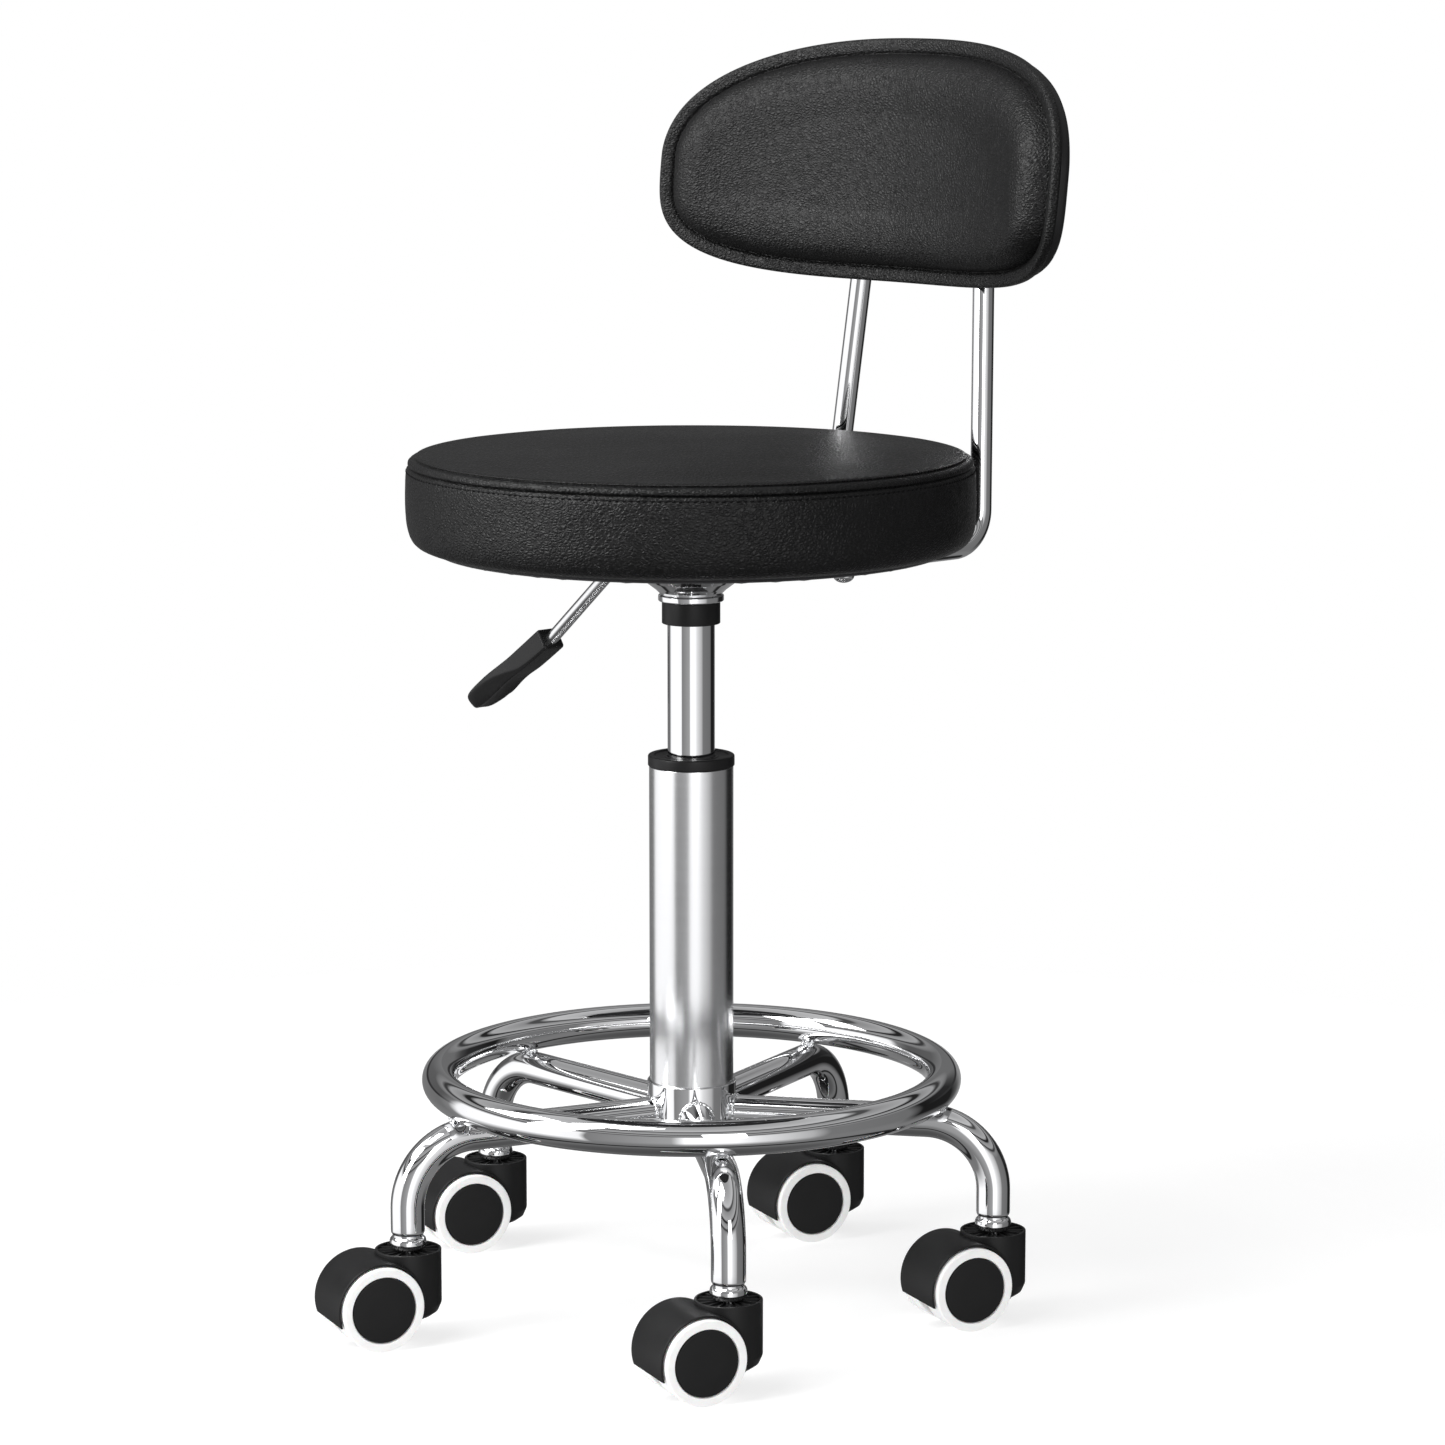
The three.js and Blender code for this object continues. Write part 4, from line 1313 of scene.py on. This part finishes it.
for n in LEGS:
    pivot = joint_place(f"caster_{n}_swivel")
    axle = joint_place(f"wheel_{n}a_roll")
    trail = in_plan(axle - pivot).normalized()
    facing = Matrix.Rotation(math.atan2(trail.y, trail.x), 4, "Z")
    at = Matrix.Translation(in_plan(pivot) * MM)
    body = placed_mesh(f"caster_body_{n}", HOUSING_MESH, at @ facing)
    put(body, f"caster_{n}", f"caster_housing_{n}", slot="caster_plastic")
    coated(STEEL, f"caster_stem_{n}", f"caster_axle_{n}")
    for letter in "ab":
        outward = in_plan(centre_of(f"wheel_tyre_{n}{letter}") - axle).normalized()
        turned_to = Matrix((UP.cross(outward), UP, outward)).transposed()
        matrix = Matrix.Translation(axle * MM) @ turned_to.to_4x4()
        wheel = f"wheel_{n}{letter}"
        tyre = placed_mesh(f"caster_tyre_{n}{letter}", TYRE_MESH, matrix)
        put(tyre, wheel, f"wheel_tyre_{n}{letter}", slot="tyre_white")
        core = placed_mesh(f"caster_core_{n}{letter}", CORE_MESH, matrix)
        put(core, wheel, f"wheel_core_{n}{letter}", slot="caster_plastic")


# ------------------------------------------------------------------------- floor, light, camera

VIEW_TURN = math.radians(48.0)
TOWARDS = Vector((math.sin(VIEW_TURN), -math.cos(VIEW_TURN), 0.0))
RIGHT = Vector((math.cos(VIEW_TURN), math.sin(VIEW_TURN), 0.0))


def make_floor():
    points, rows = turned_data([(0.0, 0.0), (300.0, 0.0), (700.0, 0.0), (1000.0, 0.0)], 96)
    s = Shader("floor")
    floor = new_object("floor", [Vector(p) - UP * 0.3 for p in points], row_faces(rows), s.mat)
    s.set(Roughness=0.9, Specular_IOR_Level=0.1, Emission_Strength=0.72, Emission_Color=(1.0, 1.0, 1.0, 1.0))
    tone = s.mix(s.noise(6.0), (0.33, 0.33, 0.33), (0.35, 0.35, 0.35))
    s.link(tone, s.bsdf.inputs["Base Color"])
    length = s.node("ShaderNodeVectorMath", operation="LENGTH")
    s.link(s.object, length.inputs[0])
    s.link(s.ramp(length.outputs["Value"], 1.0, 0.0, 0.45, 0.98), s.bsdf.inputs["Alpha"])
    floor.visible_glossy = False


def make_world():
    """Studio seen in the chrome: softboxes and grey flags at angles round the stool, + to the right."""
    world = bpy.data.worlds.new("studio")
    bpy.context.scene.world = world
    world.use_nodes = True
    world.node_tree.nodes.clear()
    s = Nodes(world.node_tree)
    coord = s.node("ShaderNodeTexCoord").outputs["Generated"]
    sideways, forwards, upwards = (
        s.vector("DOT_PRODUCT", coord, axis).outputs["Value"] for axis in (RIGHT, TOWARDS, UP)
    )
    place = s.ramp(s.math("ARCTAN2", sideways, forwards), 0.0, 1.0, -math.pi, math.pi)
    bands = s.greys(place, [
        (-180, 0.36), (-165, 0.2), (-133, 0.17), (-123, 0.24), (-116, 1.1), (-100, 1.2), (-62, 1.2),
        (-48, 1.1), (-45, 0.24), (-8, 0.4), (-3, 1.25), (18, 1.25), (30, 0.85), (52, 0.5), (60, 0.2),
        (104, 0.17), (114, 0.012), (142, 0.015), (152, 0.1), (162, 0.28),
    ], -180, 180)
    height = s.ramp(upwards, 0.0, 1.0, -1.0, 1.0)
    above = s.greys(height, [(-1, 0.0), (0.0, 0.0), (0.03, 1.0), (0.08, 1.0), (0.11, 0.5), (1, 0.5)])
    shade = s.math("MULTIPLY", s.ramp(forwards, 0.0, 1.0, -0.45, -0.7), above)
    flagged = s.mix(shade, bands, (0.035, 0.035, 0.036))
    plain = s.greys(height, [
        (-1.0, 0.08), (-0.9, 0.1), (-0.8, 0.16), (-0.76, 0.16), (-0.73, 0.02), (-0.68, 0.02), (-0.66, 0.2),
        (0.3, 0.3), (0.36, 0.26), (0.39, 0.05), (0.41, 0.05), (0.44, 0.4), (0.52, 0.3), (0.54, 0.02),
        (0.57, 0.02), (0.6, 0.45), (0.74, 0.3), (0.76, 0.08), (0.79, 0.08), (0.82, 0.6), (1.0, 0.36),
    ])
    keep = s.greys(height, [(-0.55, 0.0), (-0.3, 1.0), (0.28, 1.0), (0.36, 0.0)])
    studio = s.node("ShaderNodeBackground")
    s.link(s.mix(keep, plain, flagged), studio.inputs["Color"])
    backdrop = s.node("ShaderNodeBackground", Color=(1.0, 1.0, 1.0, 1.0))
    path = s.node("ShaderNodeLightPath")
    choose = s.node("ShaderNodeMixShader")
    s.feed(choose, (path.outputs["Is Camera Ray"], studio.outputs[0], backdrop.outputs[0]))
    s.link(choose.outputs[0], s.node("ShaderNodeOutputWorld").inputs["Surface"])


def area_light(name, turn, distance, height, width, tall, power, seen=True):
    """Soft light at an angle round the stool, + to the right of the camera."""
    data = bpy.data.lights.new(name, "AREA")
    data.shape = "RECTANGLE"
    data.size = width
    data.size_y = tall
    data.energy = power
    light = bpy.data.objects.new(name, data)
    bpy.context.scene.collection.objects.link(light)
    turn = math.radians(turn)
    at = (TOWARDS * math.cos(turn) + RIGHT * math.sin(turn)) * distance + UP * height
    light.location = at
    aim = UP * 0.4 - at
    light.rotation_euler = aim.to_track_quat("-Z", "Y").to_euler()
    light.visible_glossy = seen


def make_camera():
    """Camera at eye level in front and to the stool's left, tipped down a little."""
    eye = TOWARDS * 2.7888 + UP * 0.8147
    yaw = math.radians(0.38)
    pitch = math.radians(9.399)
    level = -TOWARDS * math.cos(yaw) + RIGHT * math.sin(yaw)
    forward = level * math.cos(pitch) - UP * math.sin(pitch)
    right = RIGHT * math.cos(yaw) + TOWARDS * math.sin(yaw)
    up = right.cross(forward)
    data = bpy.data.cameras.new("camera")
    data.sensor_width = 36.0
    data.lens = 119.1
    data.clip_end = 50.0
    camera = bpy.data.objects.new("camera", data)
    bpy.context.scene.collection.objects.link(camera)
    turned_to = Matrix((right, up, -forward)).transposed()
    camera.matrix_world = Matrix.Translation(eye) @ turned_to.to_4x4()
    bpy.context.scene.camera = camera


make_floor()
make_world()
area_light("key", -62, 2.3, 1.6, 1.0, 2.0, 54)
area_light("side", -98, 1.8, 1.9, 0.9, 1.0, 14)
area_light("high", -55, 1.1, 2.5, 1.0, 0.8, 26)
area_light("front", 14, 2.8, 1.3, 0.9, 1.3, 15)
area_light("fill", 95, 2.6, 1.2, 1.4, 1.4, 8, False)
area_light("top", 180, 0.6, 2.4, 1.6, 1.6, 3, False)
make_camera()

bpy.context.scene.view_settings.view_transform = "Standard"
bpy.context.scene.view_settings.look = "None"
